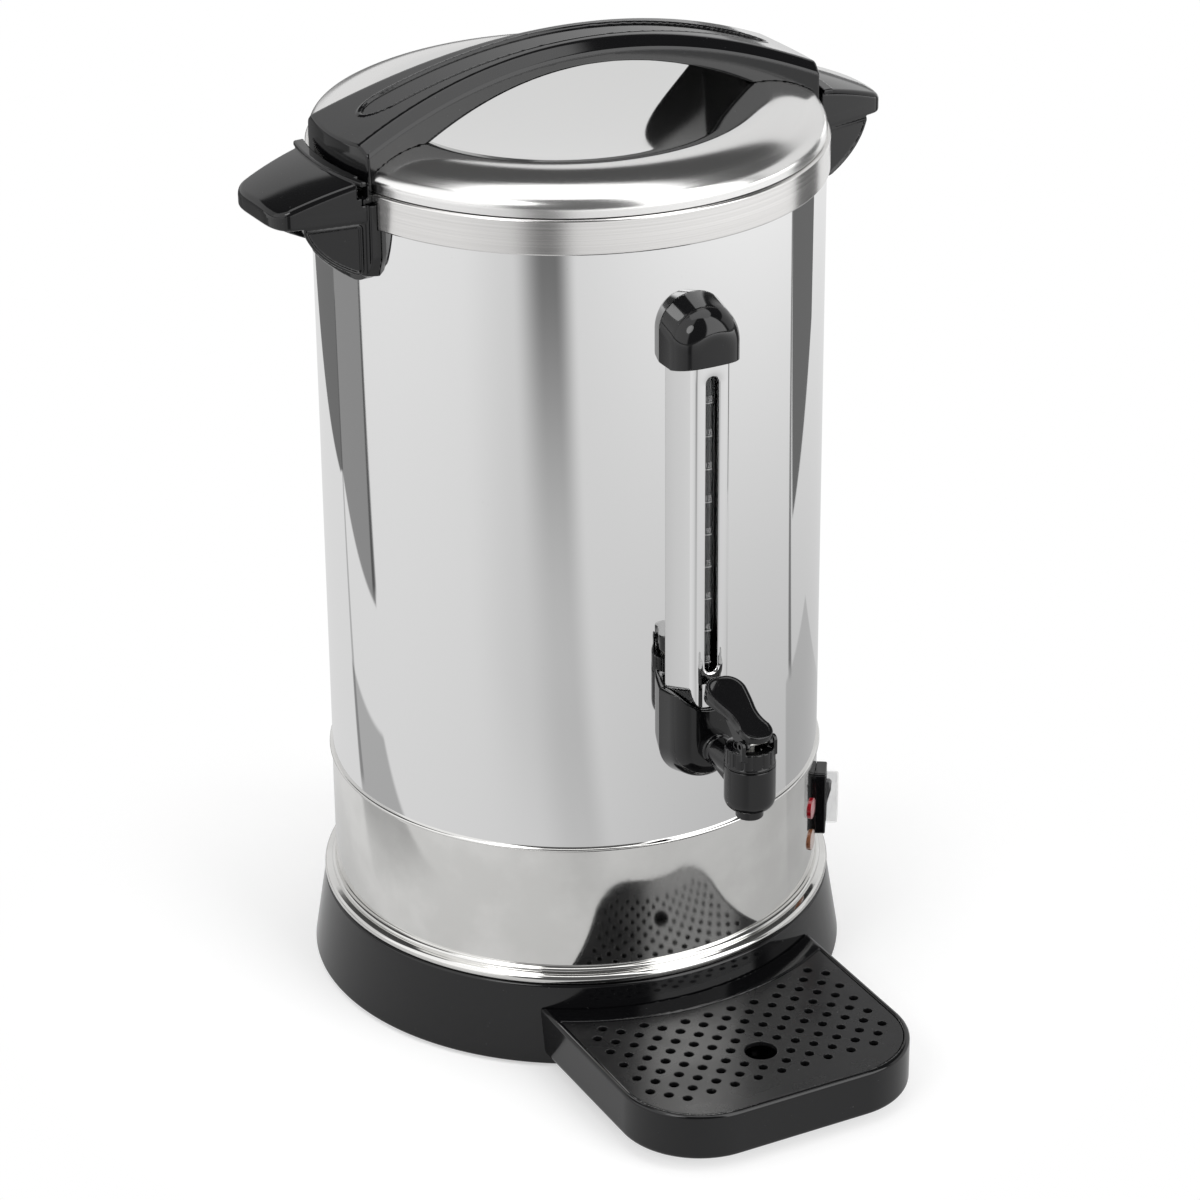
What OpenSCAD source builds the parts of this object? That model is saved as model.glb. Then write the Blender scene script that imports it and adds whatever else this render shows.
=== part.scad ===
// Hot water urn: double-walled steel tank on a black base, with a twist-lock lid,
// two side handles, a sight gauge, a lever tap, a covered rocker switch and a drip tray.
// Millimetres, +Z up, origin on the body axis at the surface that the feet stand on; the tap faces -Y.

/* [Body] */
// Outer radius of the body shell
body_r = 150; // [140:1:165]
// Thickness of the steel sheets
sheet = 1; // [0.8:0.1:1.4]
// Height of the shell from the band's seam to the rim
shell_h = 391; // [360:1:430]
// Height of the brushed collar at the rim
collar_h = 20.5; // [16:0.5:26]
// How far the collar stands out of the shell
collar_out = 2; // [1.6:0.1:3]
// Height of the lower band
band_h = 90; // [84:1:100]
// Air gap from the shell's outer face to the tank's outer face
tank_gap = 11; // [9:0.5:14]
// Height of the tank's floor above the band's seam
tank_floor_up = 43; // [38:1:50]

/* [Base] */
// Height of the black skirt
skirt_h = 50; // [44:1:60]
// How far the skirt's top stands out of the body
skirt_out = 7.5; // [6.5:0.5:12]
// How much wider the skirt is at the floor than at its top
skirt_flare = 8; // [4:0.5:12]
// Wall of the skirt
skirt_t = 3; // [2.4:0.2:4]
// Gap between the floor and the skirt's lower edge
skirt_gap = 2; // [1:0.5:3]
// Height of the rubber feet
foot_h = 6; // [5:0.5:8]
// Radius of a rubber foot
foot_r = 13; // [10:0.5:15]
// Thickness of the bottom plate
plate_t = 2; // [1.5:0.25:3]

/* [Lid] */
// Turn of the lid at rest, with its tabs at the slot mouths
lid_turn = 1.4; // [1:0.1:2.2]
// Radius of the lid's corner
lid_corner_r = 9; // [7:0.5:11]
// Radius of the lid's shoulder
lid_shoulder_r = 60; // [45:1:70]
// Radius of the lid's dished middle
lid_dish_r = 103; // [98:0.5:108]
// Depth of the dish
lid_dish = 6.7; // [5:0.1:8]
// Height of the handle bar's top above the rim
bar_rise = 58.5; // [54:0.5:64]
// Drop of the bar's top from its middle to its ends
bar_drop = 33; // [28:0.5:36]
// Half width of the bar's flat top in the middle
bar_w_mid = 16.2; // [14:0.2:19]
// Half width of the bar's flat top at its ends
bar_w_end = 31.5; // [28:0.5:34]
// Height of the finger arch's crown above the rim
arch_rise = 45.5; // [43:0.5:47]
// Half span of the finger arch at the lid
arch_half = 106; // [98:1:110]
// Turn of the lid from its rest to its lock
lock_turn = 6; // [4:0.5:7]

/* [Side handles] */
// Turn of the handles round the body against the tap
handle_turn = 2.7; // [2:0.1:3.2]
// How far the grips reach out of the body
handle_reach = 53; // [45:1:62]
// Half width of a grip at its root
handle_root = 40; // [39:0.5:40.5]
// Half width of a grip near its tip
handle_tip = 30; // [26:0.5:34]
// Height of the foot below the rim
handle_foot = 53.5; // [48:0.5:60]
// Half width of the foot
foot_half = 41.5; // [41:0.5:44]
// Thickness of the foot plate
foot_plate_t = 6; // [5:0.5:8]

/* [Gauge] */
// Half width of the gauge cover at the body
cover_half = 18; // [16:0.5:18.5]
// Half width of the cover's front face
cover_front = 12.6; // [12:0.2:13.4]
// How far the cover stands out of the body
cover_out = 23.5; // [22:0.5:26]
// Width of the sight slot
slot_w = 8.2; // [6.5:0.1:9]
// Gap between the sight slot and the cap above it
slot_gap = 6; // [2:0.5:12]
// Distance of the cap's top below the rim
cap_below = 46; // [36:1:60]
// Height of the cap
cap_h = 40; // [38:1:48]
// Outer radius of the glass tube
tube_r = 5; // [4.6:0.1:5.4]
// Half width of the black cap and housing
cap_half = 20.5; // [20:0.5:24]
// How far the cap and the housing stand out of the body
cap_out = 26; // [25.5:0.5:30]

/* [Tap] */
// Height of the tap's shank above the band's seam
tap_up = 70; // [66:1:80]
// Distance of the tap's outlet from the body axis, beyond the body
tap_out = 68; // [66:0.5:76]
// Radius of the tap's body
tap_r = 14.9; // [14.2:0.1:16]
// Radius of the outlet nozzle
nozzle_r = 8.1; // [7:0.1:9.5]
// Radius of the shank
shank_r = 8; // [7.5:0.1:8.5]
// Radius of the lever's pivot pin
pin_r = 1.5; // [1.3:0.1:1.7]

/* [Switch] */
// Angle of the switch round the body from the tap
switch_a = 57; // [54:1:70]
// Height of the switch frame
switch_h = 42; // [41:1:46]
// Width of the switch frame
switch_w = 30; // [28:1:34]
// Angle of the lamps round the body from the tap
lamp_a = 47.6; // [40:0.2:48]
// Radius of a lamp's lens
lamp_r = 6; // [5:0.2:6.4]
// Height of the red lamp above the band's lower edge
lamp_red_up = 54; // [50:1:60]
// Height of the amber lamp above the band's lower edge
lamp_amber_up = 32; // [26:1:34]

/* [Drip tray] */
// Half width of the tray
tray_half = 92.5; // [80:0.5:100]
// Distance of the tray's front from the body axis
tray_front = 286; // [276:1:300]
// Radius of the tray's front corners
tray_corner = 50; // [36:1:60]
// Height of the tray
tray_h = 29.2; // [26:0.2:34]
// Gap between the floor and the tray
tray_gap = 8.8; // [7:0.2:10]
// Wall of the tray
tray_t = 3.6; // [3:0.2:4.6]
// Radius of the grille's hollow rear edge
grille_rear = 175.2; // [174:0.2:184]
// Thickness of the grille
grille_t = 3; // [2:0.25:4]
// Radius of a drain hole
drain_r = 2.8; // [2.2:0.1:3.4]
// Radius of the finger hole
finger_r = 9.75; // [8:0.25:11]
// Sideways step of the drain holes
drain_dx = 7.8; // [7.4:0.1:10]
// Step between rows of drain holes
drain_dy = 8.15; // [7.6:0.05:10]

/* [Hidden] */
$fn = 96;
// Steps of a large round that trims a thin piece
fine = 720;
// Clearance between pieces that are fitted together
fit = 0.1;
// Gap between pieces that move past each other
run = 0.3;
// Radial clearance of a pin that turns
turn_fit = 0.05;
// Heights of the main joints
z_band = skirt_gap + skirt_h;
z_seam = z_band + band_h;
z_rim = z_seam + shell_h;
z_plate = foot_h + plate_t;
z_floor = z_seam + tank_floor_up;
z_collar = z_rim - collar_h;
z_tap = z_seam + tap_up;
// Radii of the walls
band_r = body_r + 0.4;
collar_r = body_r + collar_out;
tank_r = body_r - tank_gap;
tank_in = tank_r - sheet;
skirt_top_r = body_r + skirt_out;
skirt_foot_r = skirt_top_r + skirt_flare;
// The skirt's outer radius at height z
function skirt_r(z) = skirt_foot_r - skirt_flare * (z - skirt_gap) / skirt_h;
// Points of a round stretch from angle a0 to a1
function arc(c, r, a0, a1, n = 12) = [for (i = [0:n])
    let (a = a0 + (a1 - a0) * i / n) [c[0] + r * cos(a), c[1] + r * sin(a)]];
// Points of a curve that leaves p towards q and arrives at s
function bend(p, q, s, n = 10) = [for (i = [0:n])
    let (t = i / n) p * (1 - t) * (1 - t) + q * 2 * t * (1 - t) + s * t * t];
function mirrored(pts) = [for (i = [len(pts) - 1:-1:0]) [-pts[i][0], pts[i][1]]];

// Colours as seen on the object
steel = "#d4d6d8";
black = "#1d1d1f";
zinc = "#a9adb0";
rubber = "#2c2c2e";

// Base: skirt, bottom plate, feet and the bolt that ties the base to the tank

boss_ring_r = body_r + 2;
boss_r = 5.5;
boss_h = 22;
base_screw_r = 1.7;
tie_r = 3;
foot_ring_r = body_r - 12;
foot_stem_r = 4;
tongue_x = 45;
tongue_w = 24;
tongue_z = tray_gap + 2.2;
tongue_h = 8;
tongue_in = 15;

module skirt_cone(clear) {
    translate([0, 0, skirt_gap])
        cylinder(h = skirt_h, r1 = skirt_foot_r + clear, r2 = skirt_top_r + clear);
}

module at_quarters(start, r) {
    for (k = [0:3])
        rotate([0, 0, start + 90 * k]) translate([r, 0, 0]) children();
}

module skirt_boss() {
    translate([0, 0, z_plate]) difference() {
        union() {
            cylinder(h = boss_h, r = boss_r);
            translate([0, -1.5, 0]) cube([skirt_foot_r - boss_ring_r, 3, boss_h]);
        }
        translate([0, 0, -1]) cylinder(h = boss_h - 3, r = base_screw_r);
    }
}

module base_skirt() {
    flange_in = body_r - 4;
    flange_t = 3;
    z_under = z_band - flange_t;
    color(black) difference() {
        union() {
            rotate_extrude() polygon([
                [skirt_foot_r, skirt_gap], [skirt_top_r, z_band], [flange_in, z_band],
                [flange_in, z_under], [skirt_r(z_under) - skirt_t, z_under],
                [skirt_foot_r - skirt_t, skirt_gap]]);
            intersection() {
                at_quarters(0, boss_ring_r) skirt_boss();
                skirt_cone(-skirt_t / 2);
            }
        }
        for (side = [-1, 1])
            translate([side * tongue_x - tongue_w / 2 - run, -skirt_foot_r - 1, tongue_z - run])
                cube([tongue_w + 2 * run, 40, tongue_h + 2 * run]);
    }
}

module bottom_plate() {
    vent_count = 16;
    vent_in = 60;
    vent_l = 42;
    vent_w = 4;
    color(zinc) translate([0, 0, foot_h]) difference() {
        cylinder(h = plate_t, r = skirt_r(z_plate) - skirt_t - 2 * run);
        translate([0, 0, -1]) {
            cylinder(h = plate_t + 2, r = tie_r + run);
            at_quarters(0, boss_ring_r) cylinder(h = plate_t + 2, r = base_screw_r + 0.5);
            at_quarters(45, foot_ring_r) cylinder(h = plate_t + 2, r = foot_stem_r + fit);
            for (k = [0:vent_count - 1])
                rotate([0, 0, 360 / vent_count * (k + 0.5)]) translate([vent_in, -vent_w / 2, 0])
                    cube([vent_l, vent_w, plate_t + 2]);
        }
    }
}

module rubber_feet() {
    recess_r = 6;
    color(rubber) at_quarters(45, foot_ring_r) difference() {
        union() {
            cylinder(h = foot_h, r1 = foot_r - 1.5, r2 = foot_r);
            cylinder(h = z_plate + 2, r = foot_stem_r);
        }
        translate([0, 0, -1]) cylinder(h = 3, r = recess_r);
    }
}

module base_screws() {
    head_h = 2.4;
    color(zinc) at_quarters(0, boss_ring_r) {
        translate([0, 0, foot_h - head_h]) cylinder(h = head_h, r = 4);
        translate([0, 0, foot_h - head_h]) cylinder(h = head_h + boss_h - 4, r = base_screw_r - turn_fit);
    }
}

heat_plate_t = 4;
z_heat = z_floor - heat_plate_t;

module tie_bolt() {
    end_gap = 1;
    color(zinc) translate([0, 0, end_gap]) cylinder(h = z_heat - end_gap, r = tie_r);
}

module tie_nut() {
    nut_h = foot_h - 2;
    color(zinc) translate([0, 0, foot_h - nut_h]) difference() {
        cylinder(h = nut_h, r = 5.8, $fn = 6);
        translate([0, 0, -1]) cylinder(h = nut_h + 2, r = tie_r + turn_fit);
    }
}

// Steel walls: band, shell, collar and tank

bead_r = 3.2;
small_bead_r = 1.8;
top_bead_r = 1.7;
band_t = 1.2;
seat_in = 5;

module on_side(angle, z) {
    rotate([0, 0, angle - 90]) translate([0, 0, z]) children();
}

z_switch = z_band + band_h / 2 + 6.5;
z_inlet = z_band + band_h / 2;
inlet_w = 28;
inlet_h = 20;
switch_body_w = 25;
switch_body_h = 39;

module lower_band() {
    color(steel) difference() {
        rotate_extrude() union() {
            translate([band_r - band_t, z_band]) square([band_t, band_h - 0.8]);
            translate([band_r - seat_in, z_band]) square([seat_in + skirt_out - 3, band_t]);
            translate([band_r + skirt_out - bead_r, z_band + bead_r]) circle(bead_r);
            translate([band_r + small_bead_r - 0.6, z_band + 2 * bead_r + 1]) circle(small_bead_r);
            translate([band_r - seat_in, z_seam - 2]) square([seat_in, band_t]);
            translate([band_r + top_bead_r - 0.5, z_seam - 1.8]) circle(top_bead_r);
        }
        on_side(switch_a, z_switch)
            translate([body_r - 20, -switch_body_w / 2 - fit, -switch_body_h / 2 - fit])
            cube([40, switch_body_w + 2 * fit, switch_body_h + 2 * fit]);
        for (up = [lamp_red_up, lamp_amber_up])
            on_side(lamp_a, z_band + up) translate([body_r - 20, 0, 0]) rotate([0, 90, 0])
                cylinder(h = 40, r = lamp_r + fit);
        on_side(180, z_inlet) translate([body_r - 20, -inlet_w / 2 - fit, -inlet_h / 2 - fit])
            cube([40, inlet_w + 2 * fit, inlet_h + 2 * fit]);
    }
}

shell_screw_r = 2;
handle_screw_low = handle_foot - 14;
handle_screw_high = 15;
z_cap = z_rim - cap_below - cap_h;
z_cap_screw = z_cap + cap_h - 6;

module at_shell_screws() {
    for (side = [0, 180], drop = [handle_screw_low, handle_screw_high])
        rotate([0, 0, side + handle_turn]) translate([0, 0, z_rim - drop]) rotate([0, 90, 0]) children();
    on_side(0, z_cap_screw) rotate([0, 90, 0]) children();
}

module tap_bore(r) {
    translate([0, 0, z_tap]) rotate([90, 0, 0]) cylinder(h = 2 * body_r, r = r);
}

module outer_shell() {
    color(steel) difference() {
        translate([0, 0, z_seam - 2 + band_t])
            cylinder(h = shell_h + 2 - band_t - sheet - fit, r = body_r);
        translate([0, 0, z_seam - 10]) cylinder(h = shell_h + 20, r = body_r - sheet);
        tap_bore(shank_r + fit);
        at_shell_screws() translate([0, 0, body_r - 10]) cylinder(h = 20, r = shell_screw_r + fit);
    }
}

module top_collar() {
    mouth_r = tank_in + 1.4;
    color(steel) difference() {
        rotate_extrude() polygon([
            [body_r + fit, z_collar], [collar_r - 0.6, z_collar], [collar_r, z_collar + 0.6],
            [collar_r, z_rim - 0.8], [collar_r - 0.8, z_rim], [mouth_r, z_rim],
            [mouth_r, z_rim - sheet], [body_r + fit, z_rim - sheet]]);
        at_shell_screws() translate([0, 0, body_r - 10]) cylinder(h = 20, r = shell_screw_r + fit);
    }
}

module inner_tank() {
    rim_r = tank_r + 8;
    z_top = z_rim - sheet;
    fillet = 10;
    color(steel) difference() {
        rotate_extrude() polygon(concat(
            [[0, z_floor]],
            arc([tank_r - fillet, z_floor + fillet], fillet, -90, 0, 6),
            [[tank_r, z_top - sheet], [rim_r, z_top - sheet], [rim_r, z_top], [tank_in, z_top]],
            arc([tank_r - fillet, z_floor + fillet], fillet - sheet, 0, -90, 6),
            [[0, z_floor + sheet]]));
        tap_bore(shank_r + fit);
    }
}

// Heating and wiring under the tank

element_ring_r = 75;
element_r = 4;

module heat_plate() {
    color("#b9bcbe") translate([0, 0, z_heat]) cylinder(h = heat_plate_t, r = tank_r - 38);
}

module heating_element() {
    half_gap = 15;
    z_ring = z_heat - element_r - fit;
    stub_h = 22;
    pin_h = 10;
    color("#5f6063") {
        translate([0, 0, z_ring]) rotate([0, 0, half_gap])
            rotate_extrude(angle = 360 - 2 * half_gap) translate([element_ring_r, 0]) circle(element_r);
        for (a = [-half_gap, half_gap]) rotate([0, 0, a]) translate([element_ring_r, 0, z_ring]) {
            translate([0, 0, -stub_h]) cylinder(h = stub_h + element_r + fit / 2, r = element_r + 1);
            translate([0, 0, -stub_h - pin_h]) cylinder(h = pin_h + 1, r = 1.5);
        }
    }
}

module disc_control(pos, tone) {
    body_h = 10;
    tab_h = 8;
    color(tone) translate([pos[0], pos[1], z_heat - body_h]) {
        cylinder(h = body_h, r = 9);
        translate([0, 0, body_h - 1]) cylinder(h = 1, r = 11.5);
        for (side = [-1, 1])
            translate([side * 5 - 0.4, -3, -tab_h]) cube([0.8, 6, tab_h + 1]);
    }
}

module boil_thermostat() { disc_control([32, 30], "#c9b48a"); }
module keep_warm_thermostat() { disc_control([-32, 30], "#c9b48a"); }
module thermal_cutout() { disc_control([0, -38], "#3b3c40"); }

module terminal_block() {
    block = [46, 18, 14];
    color("#e6e3da") translate([0, 96, z_plate]) difference() {
        translate([-block[0] / 2, -block[1] / 2, 0]) cube(block);
        for (k = [-1:1]) translate([15 * k, 0, 4]) cylinder(h = block[2], r = 3);
    }
}

module power_inlet() {
    flange = [7, 48, 28];
    depth = 22;
    wall = 2;
    color(black) on_side(180, z_inlet) difference() {
        union() {
            difference() {
                translate([band_r - 3, -flange[1] / 2, -flange[2] / 2]) cube(flange);
                translate([0, 0, -50]) cylinder(h = 100, r = band_r + fit);
            }
            translate([band_r - depth, -inlet_w / 2, -inlet_h / 2]) cube([depth + 3, inlet_w, inlet_h]);
        }
        difference() {
            translate([band_r - depth + wall, -inlet_w / 2 + wall, -inlet_h / 2 + wall])
                cube([depth + 10, inlet_w - 2 * wall, inlet_h - 2 * wall]);
            for (k = [-1:1])
                translate([band_r - depth, 7 * k - 1, (k == 0 ? 2 : -2) - 2]) cube([depth - 4, 2, 4]);
        }
    }
}

// Side handles: a grip on a foot plate with two cheeks, and a lip that the lid's tabs lock under

bar_chamfer_w = 8;
tab_w = 5;
tab_turn = asin((bar_w_end + bar_chamfer_w - 1) / collar_r);
tab_rest = tab_turn + lid_turn - handle_turn;
tab_rest_y = collar_r * sin(tab_rest);
tab_lock_y = collar_r * sin(tab_rest - lock_turn);
lip_in = collar_r + 3.3;
lip_t = 4;
lip_end = tab_rest_y - tab_w / 2 - 1.1;
lip_top = z_rim + 5.5;
lip_under = z_rim - 1.2;
pocket_out = lip_in + 3.1;
pocket_z = z_rim - 5.5;
pocket_y = tab_lock_y - tab_w / 2 - 2;
grip_top = z_rim + 4;
grip_under = z_rim - 17;

module grip_plan() {
    x0 = body_r - 12;
    tip = body_r + handle_reach;
    side = concat(
        bend([x0, handle_root + 1], [body_r + 28, handle_root - 5], [tip - 10, handle_tip]),
        bend([tip - 10, handle_tip], [tip, handle_tip - 4], [tip, 0]));
    polygon(concat(side, [for (i = [len(side) - 2:-1:0]) [side[i][0], -side[i][1]]]));
}

module grip_profile() {
    tip = body_r + handle_reach;
    polygon(concat(
        bend([body_r - 12, grip_top], [body_r + 30, grip_top], [tip, grip_top - 11]),
        bend([tip, grip_top - 19], [tip - 10, grip_under], [body_r + 22, grip_under]),
        bend([body_r + 13, grip_under], [body_r + 8, grip_under], [body_r + 7, grip_under - 9]),
        [[body_r - 12, grip_under - 9]]));
}

module foot_outline() {
    corner = 18;
    z0 = z_rim - handle_foot;
    translate([-foot_half, z0 + corner]) square([2 * foot_half, handle_foot - corner - 2]);
    translate([-foot_half + corner, z0]) square([2 * (foot_half - corner), 2 * corner]);
    for (side = [-1, 1]) translate([side * (foot_half - corner), z0 + corner]) circle(corner);
}

module cheek_profile() {
    z0 = z_rim - handle_foot;
    polygon([[body_r - 20, grip_under + 8], [body_r + 14, grip_under + 8], [body_r + 14, grip_under - 3],
        [body_r + 9, grip_under - 18], [body_r + foot_plate_t, z0], [body_r - 20, z0]]);
}

module side_handle() {
    cheek_t = 7;
    difference() {
        union() {
            intersection() {
                translate([0, 0, grip_under - 20]) linear_extrude(60) grip_plan();
                rotate([90, 0, 0]) translate([0, 0, -foot_half])
                    linear_extrude(2 * foot_half) grip_profile();
            }
            intersection() {
                rotate([90, 0, 90]) linear_extrude(2 * body_r) foot_outline();
                union() {
                    translate([0, 0, z_rim - handle_foot])
                        cylinder(h = handle_foot, r = body_r + foot_plate_t);
                    for (side = [-1, 1])
                        translate([0, side * (foot_half - cheek_t / 2) + cheek_t / 2, 0])
                            rotate([90, 0, 0])
                            linear_extrude(cheek_t) cheek_profile();
                }
            }
            intersection() {
                translate([body_r - 20, -handle_root + 4, grip_under])
                    cube([60, 2 * handle_root - 8, lip_top - grip_under]);
                cylinder(h = lip_top, r = lip_in + lip_t);
            }
        }
        translate([0, 0, z_rim - handle_foot - 1]) cylinder(h = handle_foot + 20, r = body_r + fit);
        translate([0, 0, z_collar - fit]) cylinder(h = collar_h + 20, r = collar_r + fit);
        translate([0, 0, z_rim - 1]) cylinder(h = 20, r = lip_in);
        intersection() {
            translate([0, pocket_y, pocket_z]) cube([2 * body_r, foot_half, lip_under + 0.8 - pocket_z]);
            translate([0, 0, pocket_z]) cylinder(h = 20, r = pocket_out);
        }
        intersection() {
            translate([0, pocket_y, pocket_z]) cube([2 * body_r, foot_half, 30]);
            translate([0, 0, pocket_z]) cylinder(h = 30, r = lip_in);
        }
        intersection() {
            translate([0, lip_end, pocket_z]) cube([2 * body_r, foot_half, 30]);
            translate([0, 0, pocket_z]) cylinder(h = 30, r = pocket_out);
        }
        for (drop = [handle_screw_low, handle_screw_high])
            translate([body_r - 10, 0, z_rim - drop]) rotate([0, 90, 0])
                cylinder(h = 10 + foot_plate_t - 1, r = shell_screw_r + turn_fit);
    }
}

module side_handle_left() { color(black) rotate([0, 0, 180 + handle_turn]) side_handle(); }
module side_handle_right() { color(black) rotate([0, 0, handle_turn]) side_handle(); }

module shell_screws() {
    head_h = 2.4;
    reach = foot_plate_t - 1.5;
    color(zinc) at_shell_screws() {
        translate([0, 0, body_r - sheet - head_h - fit]) cylinder(h = head_h, r = 4);
        translate([0, 0, body_r - sheet - head_h - fit])
            cylinder(h = head_h + sheet + reach, r = shell_screw_r);
    }
}

// Gauge: steel channel over a glass tube, with a black cap above and the tap housing below

cover_y = body_r + cover_out;
cap_y = body_r + cap_out;
tube_y = cover_y - sheet - tube_r - 3;
housing_rise = 33;
housing_drop = 27.5;
z_cover = z_tap + housing_rise - 15;
cover_top = z_cap + cap_h - 15;
cover_h = cover_top - z_cover;
z_slot = z_tap + housing_rise + 13;
slot_h = z_cap - slot_gap - z_slot;
seal_r = 8;
seal_h = 8;
z_tube = z_tap + 12;

module cover_section(grow) {
    corner = 3;
    half = cover_half + grow;
    front = cover_front + grow;
    y = cover_y + grow;
    side = arc([-front + corner, -y + corner], corner, 190, 270, 6);
    polygon(concat([[-half, -body_r + 4]], side, mirrored(side), [[half, -body_r + 4]]));
}

module gauge_cover() {
    color(steel) difference() {
        translate([0, 0, z_cover]) linear_extrude(cover_h) difference() {
            cover_section(0);
            cover_section(-sheet);
            circle(body_r + fit);
        }
        for (up = [slot_w / 2, slot_h - slot_w / 2])
            translate([0, -tube_y, z_slot + up]) rotate([90, 0, 0])
                cylinder(h = cover_out, r = slot_w / 2);
        translate([-slot_w / 2, -cover_y - 5, z_slot + slot_w / 2]) cube([slot_w, 10, slot_h - slot_w]);
    }
}

// Plan of the cap and housing: a flat front with round corners, back to the body
module cap_plan() {
    corner = 10;
    translate([-cap_half, -cap_y + corner]) square([2 * cap_half, cap_out + 6 - corner]);
    translate([-cap_half + corner, -cap_y]) square([2 * (cap_half - corner), 2 * corner]);
    for (side = [-1, 1]) translate([side * (cap_half - corner), -cap_y + corner]) circle(corner);
}

// Front view of the cap: an arch as wide as the plan, springing at height z
module arch_view(z, from, flip) {
    translate([0, z]) {
        circle(cap_half);
        translate([-cap_half, flip ? 0 : from - z]) square([2 * cap_half, abs(from - z)]);
    }
}

module gauge_cap() {
    top = z_cap + cap_h;
    round_r = 17;
    color(black) difference() {
        intersection() {
            translate([0, 0, z_cap]) linear_extrude(cap_h + 1) cap_plan();
            rotate([90, 0, 0]) linear_extrude(cap_y + 10) arch_view(top - cap_half, z_cap, false);
            rotate([90, 0, 90]) translate([0, 0, -cap_half]) linear_extrude(2 * cap_half) polygon(concat(
                [[-body_r + 6, z_cap], [-cap_y, z_cap]],
                arc([-cap_y + round_r, top - round_r], round_r, 180, 90, 10),
                [[-body_r + 6, top]]));
        }
        translate([0, 0, z_cap - 1]) linear_extrude(cover_top + fit - z_cap + 1) cover_section(fit);
        translate([0, 0, z_cap - 1]) cylinder(h = cap_h + 10, r = body_r + fit);
        on_side(0, z_cap_screw) rotate([0, 90, 0]) translate([0, 0, body_r - 5])
            cylinder(h = 5 + foot_plate_t - 1, r = shell_screw_r + turn_fit);
    }
}

tube_top = cover_top - 9;

module sight_tube() {
    wall = 1.2;
    color("#dfe6ea") translate([0, -tube_y, z_tube]) difference() {
        cylinder(h = tube_top - z_tube, r = tube_r);
        translate([0, 0, -1]) cylinder(h = tube_top - z_tube + 2, r = tube_r - wall);
    }
}

module tube_seal(z, h, r) {
    color(rubber) translate([0, -tube_y, z]) difference() {
        cylinder(h = h, r = r);
        translate([0, 0, -1]) cylinder(h = h + 2, r = tube_r + turn_fit);
    }
}

module upper_tube_seal() { tube_seal(tube_top - seal_h - 2, seal_h, tube_r + 3 - turn_fit); }
module lower_tube_seal() { tube_seal(z_tube, z_cover - z_tube, seal_r - fit); }

module gauge_scale() {
    half = 6;
    color("#222326") translate([-half, -tube_y + tube_r + fit, z_cover + fit])
        cube([2 * half, 1, tube_top - z_cover - 12]);
}

module tap_housing() {
    sink = 4;
    z_top = z_tap + housing_rise;
    z_low = z_tap - housing_drop;
    round_r = 14;
    scoop_r = 30;
    scoop_z = z_top - 7;
    color(black) difference() {
        intersection() {
            translate([0, 0, z_low]) linear_extrude(z_top - z_low) cap_plan();
            rotate([90, 0, 0]) linear_extrude(cap_y + 10) arch_view(z_low + cap_half, z_top, true);
            rotate([90, 0, 90]) translate([0, 0, -cap_half]) linear_extrude(2 * cap_half) polygon(concat(
                [[-body_r + 6, z_top], [-cap_y, z_top]],
                arc([-cap_y + round_r, z_low + round_r], round_r, 180, 270, 10),
                [[-body_r + 6, z_low]]));
        }
        translate([0, 0, z_cover - fit]) linear_extrude(z_top - z_cover + 10) cover_section(fit);
        translate([0, 0, z_low - 1]) cylinder(h = z_top - z_low + 10, r = body_r + fit);
        translate([0, -cover_y + sink, scoop_z + scoop_r]) rotate([90, 0, 0])
            cylinder(h = 30, r = scoop_r);
        tap_bore(shank_r + turn_fit);
        translate([0, -tube_y, z_tube]) cylinder(h = 30, r = seal_r);
        translate([0, -tube_y, z_tap]) cylinder(h = 30, r = tube_r - 2);
    }
}

// Tap: body with nozzle and shank, bonnet, lever, stem, cup and spring

tap_y = body_r + tap_out;
nozzle_h = 5.5;
z_base = z_tap - 19.5;
z_outlet = z_base - nozzle_h;
z_seat = z_tap - 11;
z_collar_top = z_tap + shank_r + 0.5;
cavity_r = tap_r - 3.4;
bonnet_h = 11.5;
z_bonnet = z_collar_top + run;
z_bonnet_top = z_bonnet + bonnet_h;
pivot_y = tap_y + 8;
z_pivot = z_bonnet_top + 4.7;
lever_arm = 8;
tine_drop = 2.7;
tine_r = 1.5;
stem_r = 2.5;
head_r = 5.5;
cheek_in = head_r + 0.5;
cheek_out = cheek_in + 2.6;
ear_in = cheek_out + 0.4;
ear_t = 2.5;
shank_end = tank_in - 11;

module tap_body() {
    chamfer = 3;
    color(black) difference() {
        union() {
            translate([0, -tap_y, 0]) {
                translate([0, 0, z_base + chamfer])
                    cylinder(h = z_collar_top - z_base - chamfer, r = tap_r);
                translate([0, 0, z_base]) cylinder(h = chamfer, r1 = tap_r - chamfer, r2 = tap_r);
                translate([0, 0, z_outlet]) cylinder(h = nozzle_h + 1, r = nozzle_r);
            }
            translate([0, -shank_end, z_tap]) rotate([90, 0, 0])
                cylinder(h = tap_y - shank_end, r = shank_r);
            rotate([90, 0, 90]) translate([0, 0, -3]) linear_extrude(6) polygon([
                [-cap_y - run, z_tap], [-tap_y, z_tap], [-tap_y, z_base + chamfer],
                    [-tap_y + tap_r, z_base + chamfer],
                [-cap_y - run, z_tap - shank_r - 2]]);
        }
        translate([0, -tap_y, z_seat]) cylinder(h = 60, r = cavity_r);
        translate([0, -tap_y, z_outlet - 1]) cylinder(h = 60, r = nozzle_r - 2.6);
        translate([0, -shank_end + 1, z_tap]) rotate([90, 0, 0])
            cylinder(h = tap_y - shank_end, r = shank_r - 3);
        translate([0, -tube_y, z_tap]) cylinder(h = 20, r = tube_r - 2.5);
    }
}

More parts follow.
